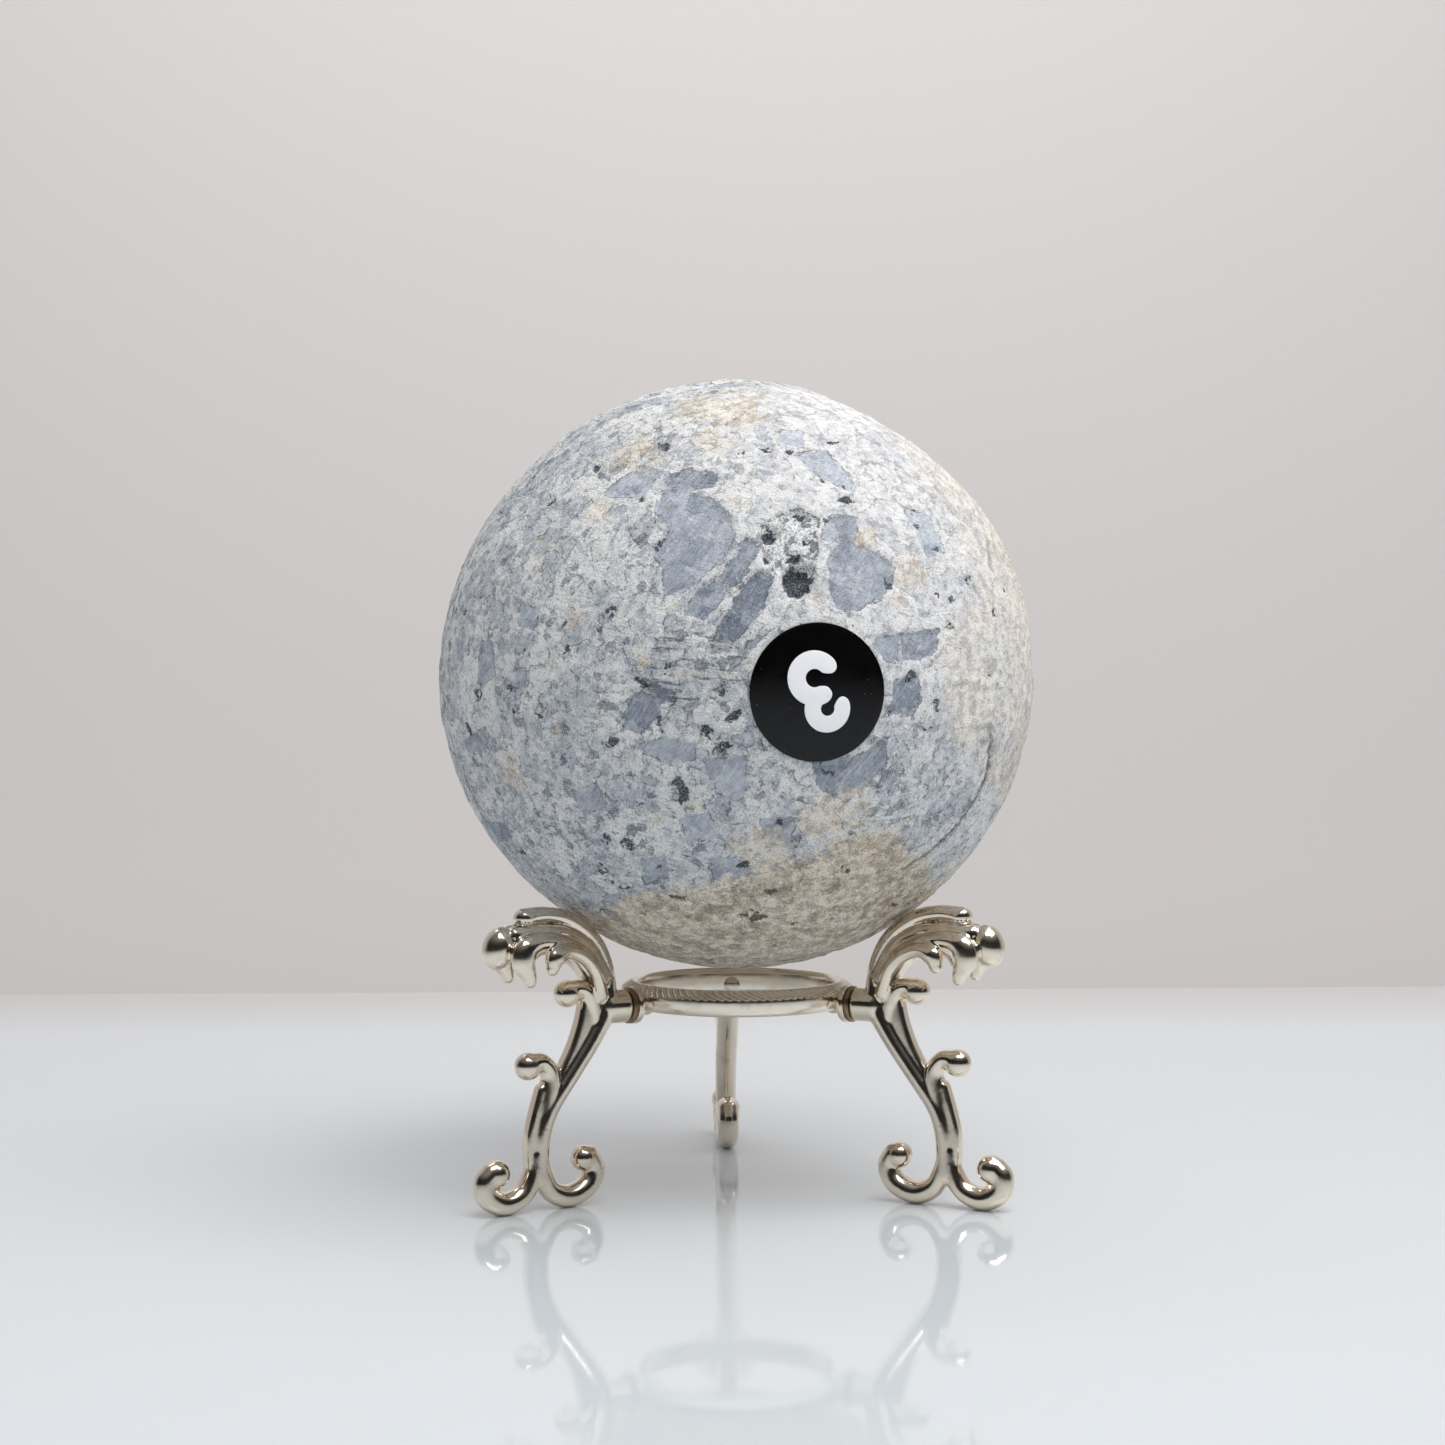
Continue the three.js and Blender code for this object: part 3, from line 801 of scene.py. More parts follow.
def streakLayer(tree, n, colour):
    # rows of dark and cream streaks in a band left of the label
    rows = noiseNode(tree, objectMillimetres(tree, (0.16, 0.16, 1.3), (0, 4, 0)), 1.1, 5, 0.65)
    band = total(tree, attributeNode(tree, "streak"), jitter(tree, n.middle, 2.0), clamp=True)
    darkRows = product(tree, band, stepNode(tree, rows, 0.52, 0.59, 0, 0.85))
    colour = mixColour(tree, darkRows, colour, tint("streakDark"))
    creamRows = product(tree, band, stepNode(tree, rows, 0.46, 0.38, 0, 0.8))
    return mixColour(tree, creamRows, colour, tint("streakCream"))


def earthLayer(tree, n, colour):
    # beige right-hand side, in patches
    rim = total(tree, attributeNode(tree, "rim"), jitter(tree, n.fine, 7))
    patches = stepNode(tree, noiseNode(tree, n.at, 0.1, 4, 0.6), 0.42, 0.52, 0.35, 0.8)
    rim = product(tree, stepNode(tree, rim, 2.5, -2.5), patches)
    rimColour = mixColour(tree, stepNode(tree, n.middle, 0.42, 0.58), tint("rimPale"), tint("rimDark"))
    colour = mixColour(tree, rim, colour, rimColour)
    # brown sandy underside
    blotch = noiseNode(tree, n.at, 0.28, 5, 0.7)
    sand = total(tree, attributeNode(tree, "sand"), jitter(tree, n.middle, 12))
    sand = stepNode(tree, sand, 1.2, -1.2)
    sandColour = mixColour(tree, stepNode(tree, n.middle, 0.40, 0.60), tint("sandPale"), tint("sandDark"))
    sandColour = overlay(tree, sandColour, "sandGrey", blotch, 0.42, 0.34, 0.6)
    sandColour = overlay(tree, sandColour, "sandBrown", blotch, 0.50, 0.60, 0.6)
    sandColour = overlay(tree, sandColour, "sandSpeck", n.fine, 0.56, 0.64, 0.5)
    colour = mixColour(tree, product(tree, sand, 0.9), colour, sandColour)
    # soft tan iron stains
    wisp = noiseNode(tree, n.at, 0.9, 5, 0.75)
    stain = total(tree, attributeNode(tree, "stain"), jitter(tree, wisp, 4.5))
    stain = product(tree, stepNode(tree, stain, 0.2, 1.1), stepNode(tree, n.fine, 0.34, 0.56, 0.35, 0.85))
    stainColour = mixColour(tree, stepNode(tree, n.middle, 0.4, 0.6), tint("stainPale"), tint("stainDark"))
    return mixColour(tree, stain, colour, stainColour), sand


def hollowLayer(tree, n, colour, sand):
    # sugary white vug with dark holes and a broken dark edge
    edge = total(tree, attributeNode(tree, "vug"), jitter(tree, n.fine, 0.9))
    sugar = mixColour(tree, stepNode(tree, n.fine, 0.48, 0.58), tint("sugar"), tint("sugarShade"))
    sugar = overlay(tree, sugar, "sugarHole", n.small, 0.78, 0.80, 0.75)
    colour = mixColour(tree, product(tree, stepNode(tree, edge, 0.15, -0.15), 0.92), colour, sugar)
    outline = stepNode(tree, mathNode(tree, "ABSOLUTE", edge), 0.24, 0.05)
    outline = product(tree, outline, stepNode(tree, n.middle, 0.44, 0.52, 0, 0.85))
    colour = mixColour(tree, outline, colour, tint("vugEdge"))
    # dark pits, brown in the sand, and the crack
    pit = total(tree, attributeNode(tree, "pit"), jitter(tree, n.small, 0.8))
    pit = stepNode(tree, total(tree, pit, jitter(tree, n.fine, 0.6)), 0.42, 0.58, 0, 0.95)
    pitColour = mixColour(tree, stepNode(tree, n.grain, 0.45, 0.6), tint("pitDark"), tint("pitPale"))
    pitColour = mixColour(tree, sand, pitColour, tint("pitSandy"))
    colour = mixColour(tree, pit, colour, pitColour)
    crack = total(tree, attributeNode(tree, "crack"), jitter(tree, n.fine, 0.4))
    return overlay(tree, colour, "crack", crack, 0.5, 0.15, 0.85), pit


def grainLayer(tree, n, colour, inFace, paintedLightAndFilm):
    # salt and pepper of the crystal grains, quieter on the crystal faces and under the painted light on the
    # upper right
    calm = mathNode(tree, "MAXIMUM", product(tree, inFace, 0.35), paintedLightAndFilm)
    calm = mathNode(tree, "SUBTRACT", 1.0, calm)
    salt = product(tree, stepNode(tree, n.grain, 0.53, 0.64, 0, 0.34), calm)
    colour = mixColour(tree, salt, colour, tint("salt"))
    pepper = product(tree, stepNode(tree, n.grain, 0.47, 0.37, 0, 0.36), calm)
    colour = mixColour(tree, pepper, colour, tint("pepper"))
    return overlay(tree, colour, "speck", n.fine, 0.60, 0.70, 0.3)


def stoneMaterial():
    material, tree, shader = newMaterial("celestiteStone")
    n = stoneNoises(tree)
    colour, lines, paintedLightAndFilm = matrixLayer(tree, n)
    colour, inFace = crystalLayer(tree, n, colour)
    colour = streakLayer(tree, n, colour)
    colour, sand = earthLayer(tree, n, colour)
    colour, pit = hollowLayer(tree, n, colour, sand)
    put(tree, shader.inputs["Base Color"], grainLayer(tree, n, colour, inFace, paintedLightAndFilm))
    # dull, with a few grains that catch the light
    dull = stepNode(tree, n.fine, 0.3, 0.7, 0.62, 0.92)
    glint = stepNode(tree, tintNode(tree, cellNode(tree, n.at, 2.2)), 0.95, 0.97, 0, -0.5)
    put(tree, shader.inputs["Roughness"], total(tree, dull, glint))
    shader.inputs["Specular IOR Level"].default_value = 0.4
    height = product(tree, n.fine, 0.6)
    for noise, share in ((n.grain, 0.3), (n.small, 0.2), (n.cleavage, 0.7), (n.big, 0.3)):
        height = total(tree, height, product(tree, noise, share))
    sunk = product(tree, mathNode(tree, "MAXIMUM", lines, pit), 0.3)
    height = mathNode(tree, "SUBTRACT", height, sunk)
    put(tree, shader.inputs["Normal"], bumpNode(tree, height, 0.85, 0.5 * mm))
    return material


label = {
    "at": (13.5, -4.2),
    "diameter": 19.0,
    "halfAngle": 12.1,
    "lift": 0.16,
    "thickness": 0.14,
    "ink": 0.03,
    # screen colour, roughness and colour of the dust on it
    "vinylFinish": ((7, 7, 8), 0.12, (96, 98, 100)),
    "inkFinish": ((238, 239, 243), 0.3, (210, 210, 212)),
    # the digit: two open bowls that share a tongue; centre and radius in millimetres, start and
    # end of each arc in degrees, and half the width of the stroke
    "bowls": [((-0.7, 1.95), 2.48, 45, 297, 1.25), ((1.2, -2.18), 2.08, 111, 372, 1.14)],
}


def onLabel(flat, height):
    # points of the label's plane laid on the ball, height millimetres above the stone
    centre = towards(*label["at"])
    side = unit(np.cross([0, 0, 1.0], centre))
    up = np.cross(centre, side)
    reach = np.linalg.norm(flat, axis=-1)
    angle = reach / stone["radius"]
    heading = flat / np.maximum(reach, 1e-9)[..., None]
    lateral = heading[..., :1] * side + heading[..., 1:] * up
    directions = unit(centre * np.cos(angle)[..., None] + lateral * np.sin(angle)[..., None])
    directions = directions.reshape(-1, 3)
    radius = swollenRadius(directions) + np.broadcast_to(height, reach.shape).reshape(-1)
    return directions * radius[:, None] + np.array(stone["centre"])


def makeLabel():
    # rings of a disc: underside, rounded edge and top, then wrapped on the ball
    edge, rows = label["diameter"] / 2, 16
    low, top = label["lift"], label["lift"] + label["thickness"]
    rim = [edge - 0.03, edge, edge - 0.03]
    rimHeight = [low + 0.02, (low + top) / 2, top - 0.02]
    reach = np.concatenate([np.linspace(0, edge - 0.1, rows), rim, np.linspace(edge - 0.1, 0, rows)])
    height = np.concatenate([np.full(rows, low), rimHeight, np.full(rows, top)])
    turn = np.linspace(0, 2 * math.pi, 145)[:-1]
    flat = np.stack([reach[:, None] * np.cos(turn), reach[:, None] * np.sin(turn)], axis=-1)
    points = onLabel(flat, height[:, None])
    return makePiece("label_disc", points, gridQuads(len(reach), len(turn)))


def makeDigit():
    # each bowl is an arc of a flat band with round ends, laid on top of the label
    surfaces = []
    base = label["lift"] + label["thickness"]
    for number, (centre, radius, start, end, half) in enumerate(label["bowls"]):
        sweep = math.radians(end - start)
        tip = half / radius
        inner = np.linspace(math.radians(start), math.radians(end), 64)
        cap = np.linspace(math.pi / 2, 0, 14)[:-1]
        turns = np.concatenate([inner[0] - tip * np.sin(cap), inner, inner[-1] + tip * np.sin(cap[::-1])])
        widths = np.concatenate([half * np.cos(cap), np.full(len(inner), half), half * np.cos(cap[::-1])])
        section = np.array([-1, -0.97, -0.9, 0, 0.9, 0.97, 1, 0.97, 0, -0.97])
        lift = np.array([0, 0.6, 1, 1, 1, 0.6, 0, -1, -1, -1]) * label["ink"]
        reach = radius + widths[:, None] * section[None, :]
        x = centre[0] + reach * np.cos(turns)[:, None]
        y = centre[1] + reach * np.sin(turns)[:, None]
        flat = np.stack([x, y], axis=-1)
        heights = base + 0.01 * number + lift[None, :] + 0 * reach  # the second bowl a hair higher
        surfaces.append((onLabel(flat, heights), gridQuads(len(turns), len(section))))
    return makePiece("label_digit", *joinSurfaces(surfaces))


def labelMaterial(name, colour, roughness, dustColour):
    # glossy and slightly uneven, with specks of dust
    material, tree, shader = newMaterial(name)
    at = objectMillimetres(tree)
    dust = stepNode(tree, noiseNode(tree, at, 2.6, 2, 0.5), 0.74, 0.78)
    put(tree, shader.inputs["Base Color"], mixColour(tree, dust, rgb(*colour), rgb(*dustColour)))
    smear = noiseNode(tree, at, 0.35, 4, 0.6)
    put(tree, shader.inputs["Roughness"], stepNode(tree, smear, 0.3, 0.7, roughness, roughness + 0.12))
    shader.inputs["Specular IOR Level"].default_value = 0.3
    put(tree, shader.inputs["Normal"], bumpNode(tree, noiseNode(tree, at, 0.5, 3, 0.5), 0.12, 0.2 * mm))
    return material


legs = {
    "azimuths": {"left": 210, "right": 330, "back": 90},
    "voxel": 0.2,
    "smoothing": 5,
    "sectionPoints": 28,
    "pathSteps": 8,
    "webPower": 4.5,  # 2 is an ellipse, and more is nearer to a box
}

# Ribs of the casting in its own plane, from root to tip: radius from the stand's axis, height,
# offset to the side, half width in the plane, half depth out of it
legRibs = [
    # the rounded inner rib of the stem, from the crest to the foot
    [(23.3, 33.0, 0, 1.35, 1.7), (23.5, 29.0, 0, 1.6, 2.1), (25.7, 24.9, 0, 1.55, 2.0),
     (29.3, 19.9, 0, 1.5, 1.9), (32.9, 15.0, 0, 1.5, 1.85), (34.3, 11.4, 0, 1.5, 1.8),
     (34.6, 8.0, 0, 1.45, 1.75), (34.7, 4.6, 0, 1.6, 1.75)],
    # outer foot scroll
    [(35.5, 8.2, 0, 1.0, 1.5), (35.8, 5.2, 0, 1.45, 1.7), (37.3, 2.7, 0, 1.6, 1.75),
     (40.3, 1.65, 0, 1.75, 1.8), (42.9, 2.9, 0, 1.75, 1.8), (43.4, 5.0, 0, 1.65, 1.8),
     (42.4, 6.3, 0, 1.6, 1.8)],
    # inner foot scroll
    [(34.4, 8.2, 0, 1.0, 1.5), (34.0, 5.2, 0, 1.4, 1.7), (32.6, 2.7, 0, 1.55, 1.75),
     (29.7, 1.65, 0, 1.7, 1.8), (26.5, 2.9, 0, 1.7, 1.8), (25.4, 5.2, 0, 1.6, 1.8),
     (26.3, 7.2, 0, 1.55, 1.8)],
    # mid curl
    [(34.3, 12.0, 0, 1.3, 1.6), (33.0, 16.6, 0, 1.6, 1.75), (32.8, 19.8, 0, 1.45, 1.75),
     (34.2, 21.7, 0, 1.3, 1.75), (36.0, 21.6, 0, 1.45, 1.8)],
    # low curl beside the ring
    [(25.2, 25.5, 0, 1.2, 1.6), (25.7, 29.2, 0, 1.4, 1.7), (27.0, 31.5, 0, 1.35, 1.75),
     (28.6, 32.1, 0, 1.35, 1.75), (29.8, 31.6, 0, 1.5, 1.8)],
    # top ridge of the crest
    [(23.2, 30.0, 0, 1.3, 1.5), (23.6, 34.9, 0, 1.3, 1.6), (25.8, 39.2, 0, 1.35, 1.6),
     (29.7, 42.2, 0, 1.3, 1.5), (33.6, 43.2, 0, 1.2, 1.5), (36.8, 43.0, 0, 1.35, 1.7)],
]

# Ribs that lie to both sides of the plane and end in hanging drops
sideRibs = [
    # to the big outer drop
    [(24.2, 33.4, 0.7, 1.2, 1.2), (26.9, 37.8, 1.0, 1.1, 1.1), (30.9, 40.4, 1.3, 1.0, 1.1),
     (35.2, 40.9, 1.3, 1.05, 1.2), (39.0, 40.4, 0.9, 1.5, 1.5)],
    # to the middle drop
    [(24.9, 32.8, 1.3, 1.05, 1.1), (27.9, 37.0, 2.0, 1.0, 1.1), (32.2, 39.1, 2.7, 1.05, 1.1),
     (36.2, 39.5, 3.1, 1.4, 1.35), (38.4, 38.6, 3.3, 1.9, 1.6), (38.9, 36.8, 3.4, 1.85, 1.6),
     (38.2, 35.0, 3.5, 1.25, 1.2), (37.9, 34.0, 3.5, 0.95, 0.95)],
    # to the small inner drop
    [(24.9, 31.0, 1.3, 1.0, 1.0), (26.4, 34.6, 2.2, 1.0, 1.0), (29.0, 37.0, 3.0, 1.0, 1.0),
     (31.9, 38.0, 3.6, 1.15, 1.1), (34.0, 37.3, 4.0, 1.5, 1.3), (34.6, 35.7, 4.1, 1.0, 0.95)],
]

# Flat webs on the stem's outer side, sharper in section than the ribs
legWebs = [
    [(26.2, 30.4, 0, 1.6, 1.2), (27.0, 27.0, 0, 1.5, 1.3), (28.4, 23.4, 0, 1.4, 1.3),
     (30.4, 20.0, 0, 1.2, 1.25), (32.0, 17.0, 0, 1.0, 1.2)],
    [(33.9, 17.5, 0, 1.2, 1.15), (34.7, 14.4, 0, 1.35, 1.25), (35.4, 11.2, 0, 1.45, 1.25),
     (35.5, 8.2, 0, 1.45, 1.25), (35.4, 5.2, 0, 1.3, 1.25)],
]

# Round ends: place in the plane, side offset, half sizes across, up and out, lean in degrees
legKnobs = [
    (41.6, 6.1, 0, 2.1, 2.1, 2.1, 0),
    (27.2, 7.0, 0, 1.95, 1.95, 2.05, 0),
    (36.4, 21.25, 0, 2.05, 2.05, 2.0, 0),
    (29.95, 31.45, 0, 2.05, 2.05, 2.0, 0),
    (37.0, 42.9, 0, 1.65, 1.45, 1.8, 0),
    (41.2, 38.7, 0, 2.4, 3.2, 2.5, 14),
]


def ribSurface(stations, power=2.0):
    # a superellipse section carried along a smooth path in the leg's plane, with rounded ends:
    # across = half * sign(cos) |cos|^(2/power), out = depth * sign(sin) |sin|^(2/power)
    path = smoothPath(stations, legs["pathSteps"])
    line, half, depth = path[:, :3], path[:, 3], path[:, 4]
    along = unit(np.gradient(line, axis=0))
    across = unit(np.stack([-along[:, 1], along[:, 0], 0 * along[:, 0]], axis=1))
    out = np.cross(along, across)
    bend = np.linspace(0, math.pi / 2, 8)[1:]
    endSize = np.cos(bend)
    startLine = line[0] - along[0] * (half[0] * np.sin(bend))[::-1, None]
    endLine = line[-1] + along[-1] * (half[-1] * np.sin(bend))[:, None]
    line = np.vstack([startLine, line, endLine])
    across = np.vstack([np.repeat(across[:1], len(bend), 0), across, np.repeat(across[-1:], len(bend), 0)])
    out = np.vstack([np.repeat(out[:1], len(bend), 0), out, np.repeat(out[-1:], len(bend), 0)])
    half = np.concatenate([half[0] * endSize[::-1], half, half[-1] * endSize])
    depth = np.concatenate([depth[0] * endSize[::-1], depth, depth[-1] * endSize])
    turn = np.linspace(0, 2 * math.pi, legs["sectionPoints"] + 1)[:-1]
    x = np.sign(np.cos(turn)) * np.abs(np.cos(turn)) ** (2 / power)
    y = np.sign(np.sin(turn)) * np.abs(np.sin(turn)) ** (2 / power)
    acrossPart = across[:, None] * (half[:, None] * x)[..., None]
    outPart = out[:, None] * (depth[:, None] * y)[..., None]
    points = line[:, None] + acrossPart + outPart
    return inLegFrame(points.reshape(-1, 3)), gridQuads(len(line), len(turn))


def inLegFrame(planar):
    # (radius, height, side offset) to the leg's own x, y, z at azimuth 0
    return np.stack([planar[:, 0], -planar[:, 2], planar[:, 1]], axis=1)


def knobSurface(radius, height, offset, across, up, out, lean):
    # an ellipsoid in latitude and longitude
    lat = np.linspace(-math.pi / 2, math.pi / 2, 21)[:, None]
    lon = np.linspace(0, 2 * math.pi, 33)[:-1][None, :]
    x = across * np.cos(lat) * np.cos(lon)
    y = up * np.sin(lat) + 0 * lon
    z = out * np.cos(lat) * np.sin(lon)
    a = math.radians(lean)
    leantX = radius + x * math.cos(a) - y * math.sin(a)
    leantY = height + x * math.sin(a) + y * math.cos(a)
    planar = np.stack([leantX, leantY, offset + z], axis=-1)
    return inLegFrame(planar.reshape(-1, 3)), gridQuads(lat.size, lon.size)


def latheSurface(profile, facets, centreHeight):
    # a profile of (distance along the radius, distance from the axis) turned about a radial axis
    profile = np.asarray(profile, float)
    turn = np.linspace(0, 2 * math.pi, facets + 1)[:-1]
    x = profile[:, :1] + 0 * turn
    y = profile[:, 1:] * np.cos(turn)
    z = centreHeight + profile[:, 1:] * np.sin(turn)
    return np.stack([x, y, z], axis=-1).reshape(-1, 3), gridQuads(len(profile), len(turn))


def mirrorStations(stations):
    # the same rib on the other side of the leg's plane
    return [(r, z, -t, half, depth) for r, z, t, half, depth in stations]


def castLeg():
    # every rib, web and knob, fused by a voxel remesh and smoothed like a polished casting
    surfaces = [ribSurface(rib) for rib in legRibs]
    surfaces += [ribSurface(web, legs["webPower"]) for web in legWebs]
    for rib in sideRibs:
        surfaces += [ribSurface(rib), ribSurface(mirrorStations(rib))]
    surfaces += [knobSurface(*knob) for knob in legKnobs]
    radius, start, end = pivot["neckRadius"], pivot["neckStart"], pivot["neckEnd"]
    neck = [(start, 0), (start, radius - 0.25), (start + 0.25, radius), (end - 1, radius),
            (end, radius - 0.8), (end, 0)]
    surfaces.append(latheSurface(neck, 40, pivot["height"]))
    blank = makePiece("legBlank", *joinSurfaces(surfaces))
    remesh = blank.modifiers.new("fuse", "REMESH")
    remesh.mode = "VOXEL"
    remesh.voxel_size = legs["voxel"] * mm
    remesh.use_smooth_shade = True
    soften = blank.modifiers.new("soften", "SMOOTH")
    soften.factor = 0.5
    soften.iterations = legs["smoothing"]
    shape = bpy.data.meshes.new_from_object(blank.evaluated_get(bpy.context.evaluated_depsgraph_get()))
    points = np.zeros(len(shape.vertices) * 3)
    shape.vertices.foreach_get("co", points)
    points = points.reshape(-1, 3)
    points[:, 2] = np.maximum(points[:, 2], 0)  # ground flat under the foot
    quads = np.array([polygon.vertices[:] for polygon in shape.polygons])
    bpy.data.objects.remove(blank)
    return points / mm, quads


ring = {
    # closed section as radius and height, from the inside bottom edge round by the outside: flat
    # base, bowed band, twisted bevel, narrow crest, inner bevel and upright wall
    "section": [(15.0, 28.5), (15.4, 28.03), (16.8, 28.0), (17.4, 28.25), (17.8, 28.9), (17.99, 29.8),
                (17.9, 30.7), (17.3, 31.2), (16.7, 31.52), (16.15, 31.78), (15.7, 31.78), (15.2, 31.35),
                (15.0, 30.6)],
    "strands": 92,
    "strandDepth": 0.3,
    "lay": 2.6,  # strands that a groove passes on its way over the bevel
    "steps": 1104,
}

pivot = {
    "height": 29.0,
    "bossRadius": 2.75,
    "bossStart": 15.9,
    "bossEnd": 19.05,
    "washerStart": 19.1,
    "washerEnd": 19.85,
    "washerRadius": 2.7,
    "neckStart": 19.9,
    "neckEnd": 24.6,
    "neckRadius": 2.5,
    "headRadius": 1.25,
    "headTop": 14.1,
    "headSeat": 14.95,
    "shankRadius": 0.9,
    "shankEnd": 23.4,
}


def ringProfile():
    # the section as a smooth closed curve
    corners = ring["section"]
    closed = corners[-1:] + corners + corners[:2]
    steps = 5
    return smoothPath(closed, steps)[steps:-steps][:-1]


def makeRing():
    # the section carried round the axis; on the bevel, slanting grooves like a twisted wire
    profile = ringProfile()
    turn = np.linspace(0, 2 * math.pi, ring["steps"] + 1)[:-1]
    r, z = profile[:, :1], profile[:, 1:]
    bevel = smoothStep(30.5, 30.85, z) * smoothStep(15.95, 16.3, r)
    climb = (z - 30.0) / 1.7
    wave = 0.5 + 0.5 * np.cos(ring["strands"] * turn[None, :] + 2 * math.pi * ring["lay"] * climb)
    groove = ring["strandDepth"] * bevel * (1 - np.sqrt(wave))
    reach = r - groove * 0.7  # sunk at right angles to the bevel
    height = z - groove * 0.7
    points = np.stack([reach * np.cos(turn), reach * np.sin(turn), height], axis=-1)
    band = points.transpose(1, 0, 2).reshape(-1, 3)
    surfaces = [(band, gridQuads(len(turn), len(profile), closeRows=True))]
    start, end, radius = pivot["bossStart"], pivot["bossEnd"], pivot["bossRadius"]
    boss = [(start, 0), (start, radius - 1.2), (end - 1.7, radius - 1.1), (end - 1.2, radius - 0.35),
            (end - 0.8, radius), (end - 0.3, radius), (end, radius - 0.25), (end, 0)]
    for azimuth in legs["azimuths"].values():
        bossPoints, bossFaces = latheSurface(smoothPath(boss, 3), 48, pivot["height"])
        surfaces.append((turned(bossPoints, azimuth), bossFaces))
    return makePiece("ring_body", *joinSurfaces(surfaces))


def makeRivet(name, azimuth):
    # a domed head inside the ring and a shank that runs out into the leg
    top, seat, radius = pivot["headTop"], pivot["headSeat"], pivot["headRadius"]
    shank, end = pivot["shankRadius"], pivot["shankEnd"]
    profile = [(top, 0), (top + 0.04, radius * 0.4), (top + 0.14, radius * 0.7),
               (top + 0.32, radius * 0.93), (top + 0.5, radius), (seat - 0.1, radius),
               (seat, radius - 0.1), (seat, shank), (seat + 0.1, shank), (end - 0.2, shank),
               (end, shank - 0.2), (end, 0)]
    points, faces = latheSurface(profile, 40, pivot["height"])
    return makePiece(name, turned(points, azimuth), faces)


def makeWasher(name, azimuth):
    # a thin flat ring with rounded outer edges
    start, end = pivot["washerStart"], pivot["washerEnd"]
    outer, inner = pivot["washerRadius"], pivot["shankRadius"] + 0.1
    profile = [(start, inner), (start, outer - 0.15), (start + 0.12, outer), (end - 0.12, outer),
               (end, outer - 0.15), (end, inner)]
    facets = 48
    points, _ = latheSurface(profile, facets, pivot["height"])
    faces = gridQuads(len(profile), facets, closeRows=True)
    return makePiece(name, turned(points, azimuth), faces)


metals = {
    # screen colour, colour of the film on it and of the painted shade in its creases, roughness, strength of
    # the film and of that painted shade
    "warmNickel": ((238, 226, 209), (152, 129, 104), 0.15, 0.6),
    "rivetNickel": ((224, 215, 200), (140, 122, 102), 0.18, 0.6),
    "washerBrass": ((150, 128, 104), (72, 54, 42), 0.34, 0.9),
    "satinNickel": ((240, 231, 216), (164, 142, 118), 0.19, 0.6),
}


def metalMaterial(name):
    # plated metal: cloudy roughness, faint orange peel, a warmer film in patches, and painted shade of the
    # film colour in the creases
    bright, dull, roughness, filmAndShadeStrength = metals[name]
    material, tree, shader = newMaterial(name)
    at = objectMillimetres(tree)
    film = noiseNode(tree, at, 0.45, 5, 0.6)
    fineFilm = noiseNode(tree, at, 2.2, 4, 0.6)
    hollow = tree.nodes.new("ShaderNodeNewGeometry").outputs["Pointiness"]
    # painted shade: where Pointiness is low, in creases and hollows, the film colour darkens the metal and
    # the roughness rises
    paintedCreaseShade = stepNode(tree, hollow, 0.49, 0.42)
    # warm film in noise patches, together with the painted crease shade
    paintedLightAndFilm = mathNode(tree, "MAXIMUM", paintedCreaseShade, stepNode(tree, film, 0.55, 0.75, 0, 0.5))
    colour = mixColour(tree, product(tree, paintedLightAndFilm, filmAndShadeStrength), rgb(*bright), rgb(*dull))
    put(tree, shader.inputs["Base Color"], colour)
    shader.inputs["Metallic"].default_value = 1.0
    cloudy = stepNode(tree, film, 0.3, 0.7, roughness * 0.75, roughness * 1.3)
    put(tree, shader.inputs["Roughness"], total(tree, cloudy, product(tree, paintedCreaseShade, 0.12)))
    peel = total(tree, film, product(tree, fineFilm, 0.2))
    put(tree, shader.inputs["Normal"], bumpNode(tree, peel, 0.05, 0.4 * mm))
    return material


def finishPiece(piece, material, body, slotName, *nodes):
    # material, body that it moves with, slot of its finish (not used), and the plain node that it stands for
    piece.data.materials.clear()
    piece.data.materials.append(material)
    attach(piece, body)
    if nodes:
        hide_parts(*nodes)


print("stone")
finishPiece(makeStone(), stoneMaterial(), "ball", "stone", "stone_ball")
print("label")
blackVinyl = labelMaterial("blackVinyl", *label["vinylFinish"])
whiteInk = labelMaterial("whiteInk", *label["inkFinish"])
finishPiece(makeLabel(), blackVinyl, "ball", "label", "number_label")
finishPiece(makeDigit(), whiteInk, "ball", "label")
print("ring")
finishPiece(makeRing(), metalMaterial("satinNickel"), "stand", "nickel", "stand_ring")
print("legs")
nickel = metalMaterial("warmNickel")
rivetNickel = metalMaterial("rivetNickel")
washerBrass = metalMaterial("washerBrass")
legPoints, legQuads = castLeg()
for side, azimuth in legs["azimuths"].items():
    body = f"{side}_leg"
    mesh = bpy.data.meshes.new(f"leg_casting_{side}")
    mesh.from_pydata((turned(legPoints, azimuth) * mm).tolist(), [], legQuads.tolist())
    finishPiece(placeMesh(mesh), nickel, body, "nickel", f"leg_{side}")
    rivet = makeRivet(f"rivet_pin_{side}", azimuth)
    finishPiece(rivet, rivetNickel, body, "rivet_steel", f"rivet_{side}")
    washer = makeWasher(f"washer_disc_{side}", azimuth)
    finishPiece(washer, washerBrass, body, "washer_brass", f"washer_{side}")

# The studio is in metres
studio = {
    "tableBack": 0.25,
    "tableReach": 1.6,
    "tableDepth": 0.03,
    "tableColour": (207, 214, 219),
    "tableFarColour": (196, 193, 193),
    "fade": 0.09,
    "wallAt": 0.75,
    "wallColour": (203, 200, 199),
    "cameraDistance": 0.344,
    "cameraHeight": 0.0714,
    "cameraShiftLeft": 0.00224,
    "lens": 55.4,
    "sensor": 36,
}

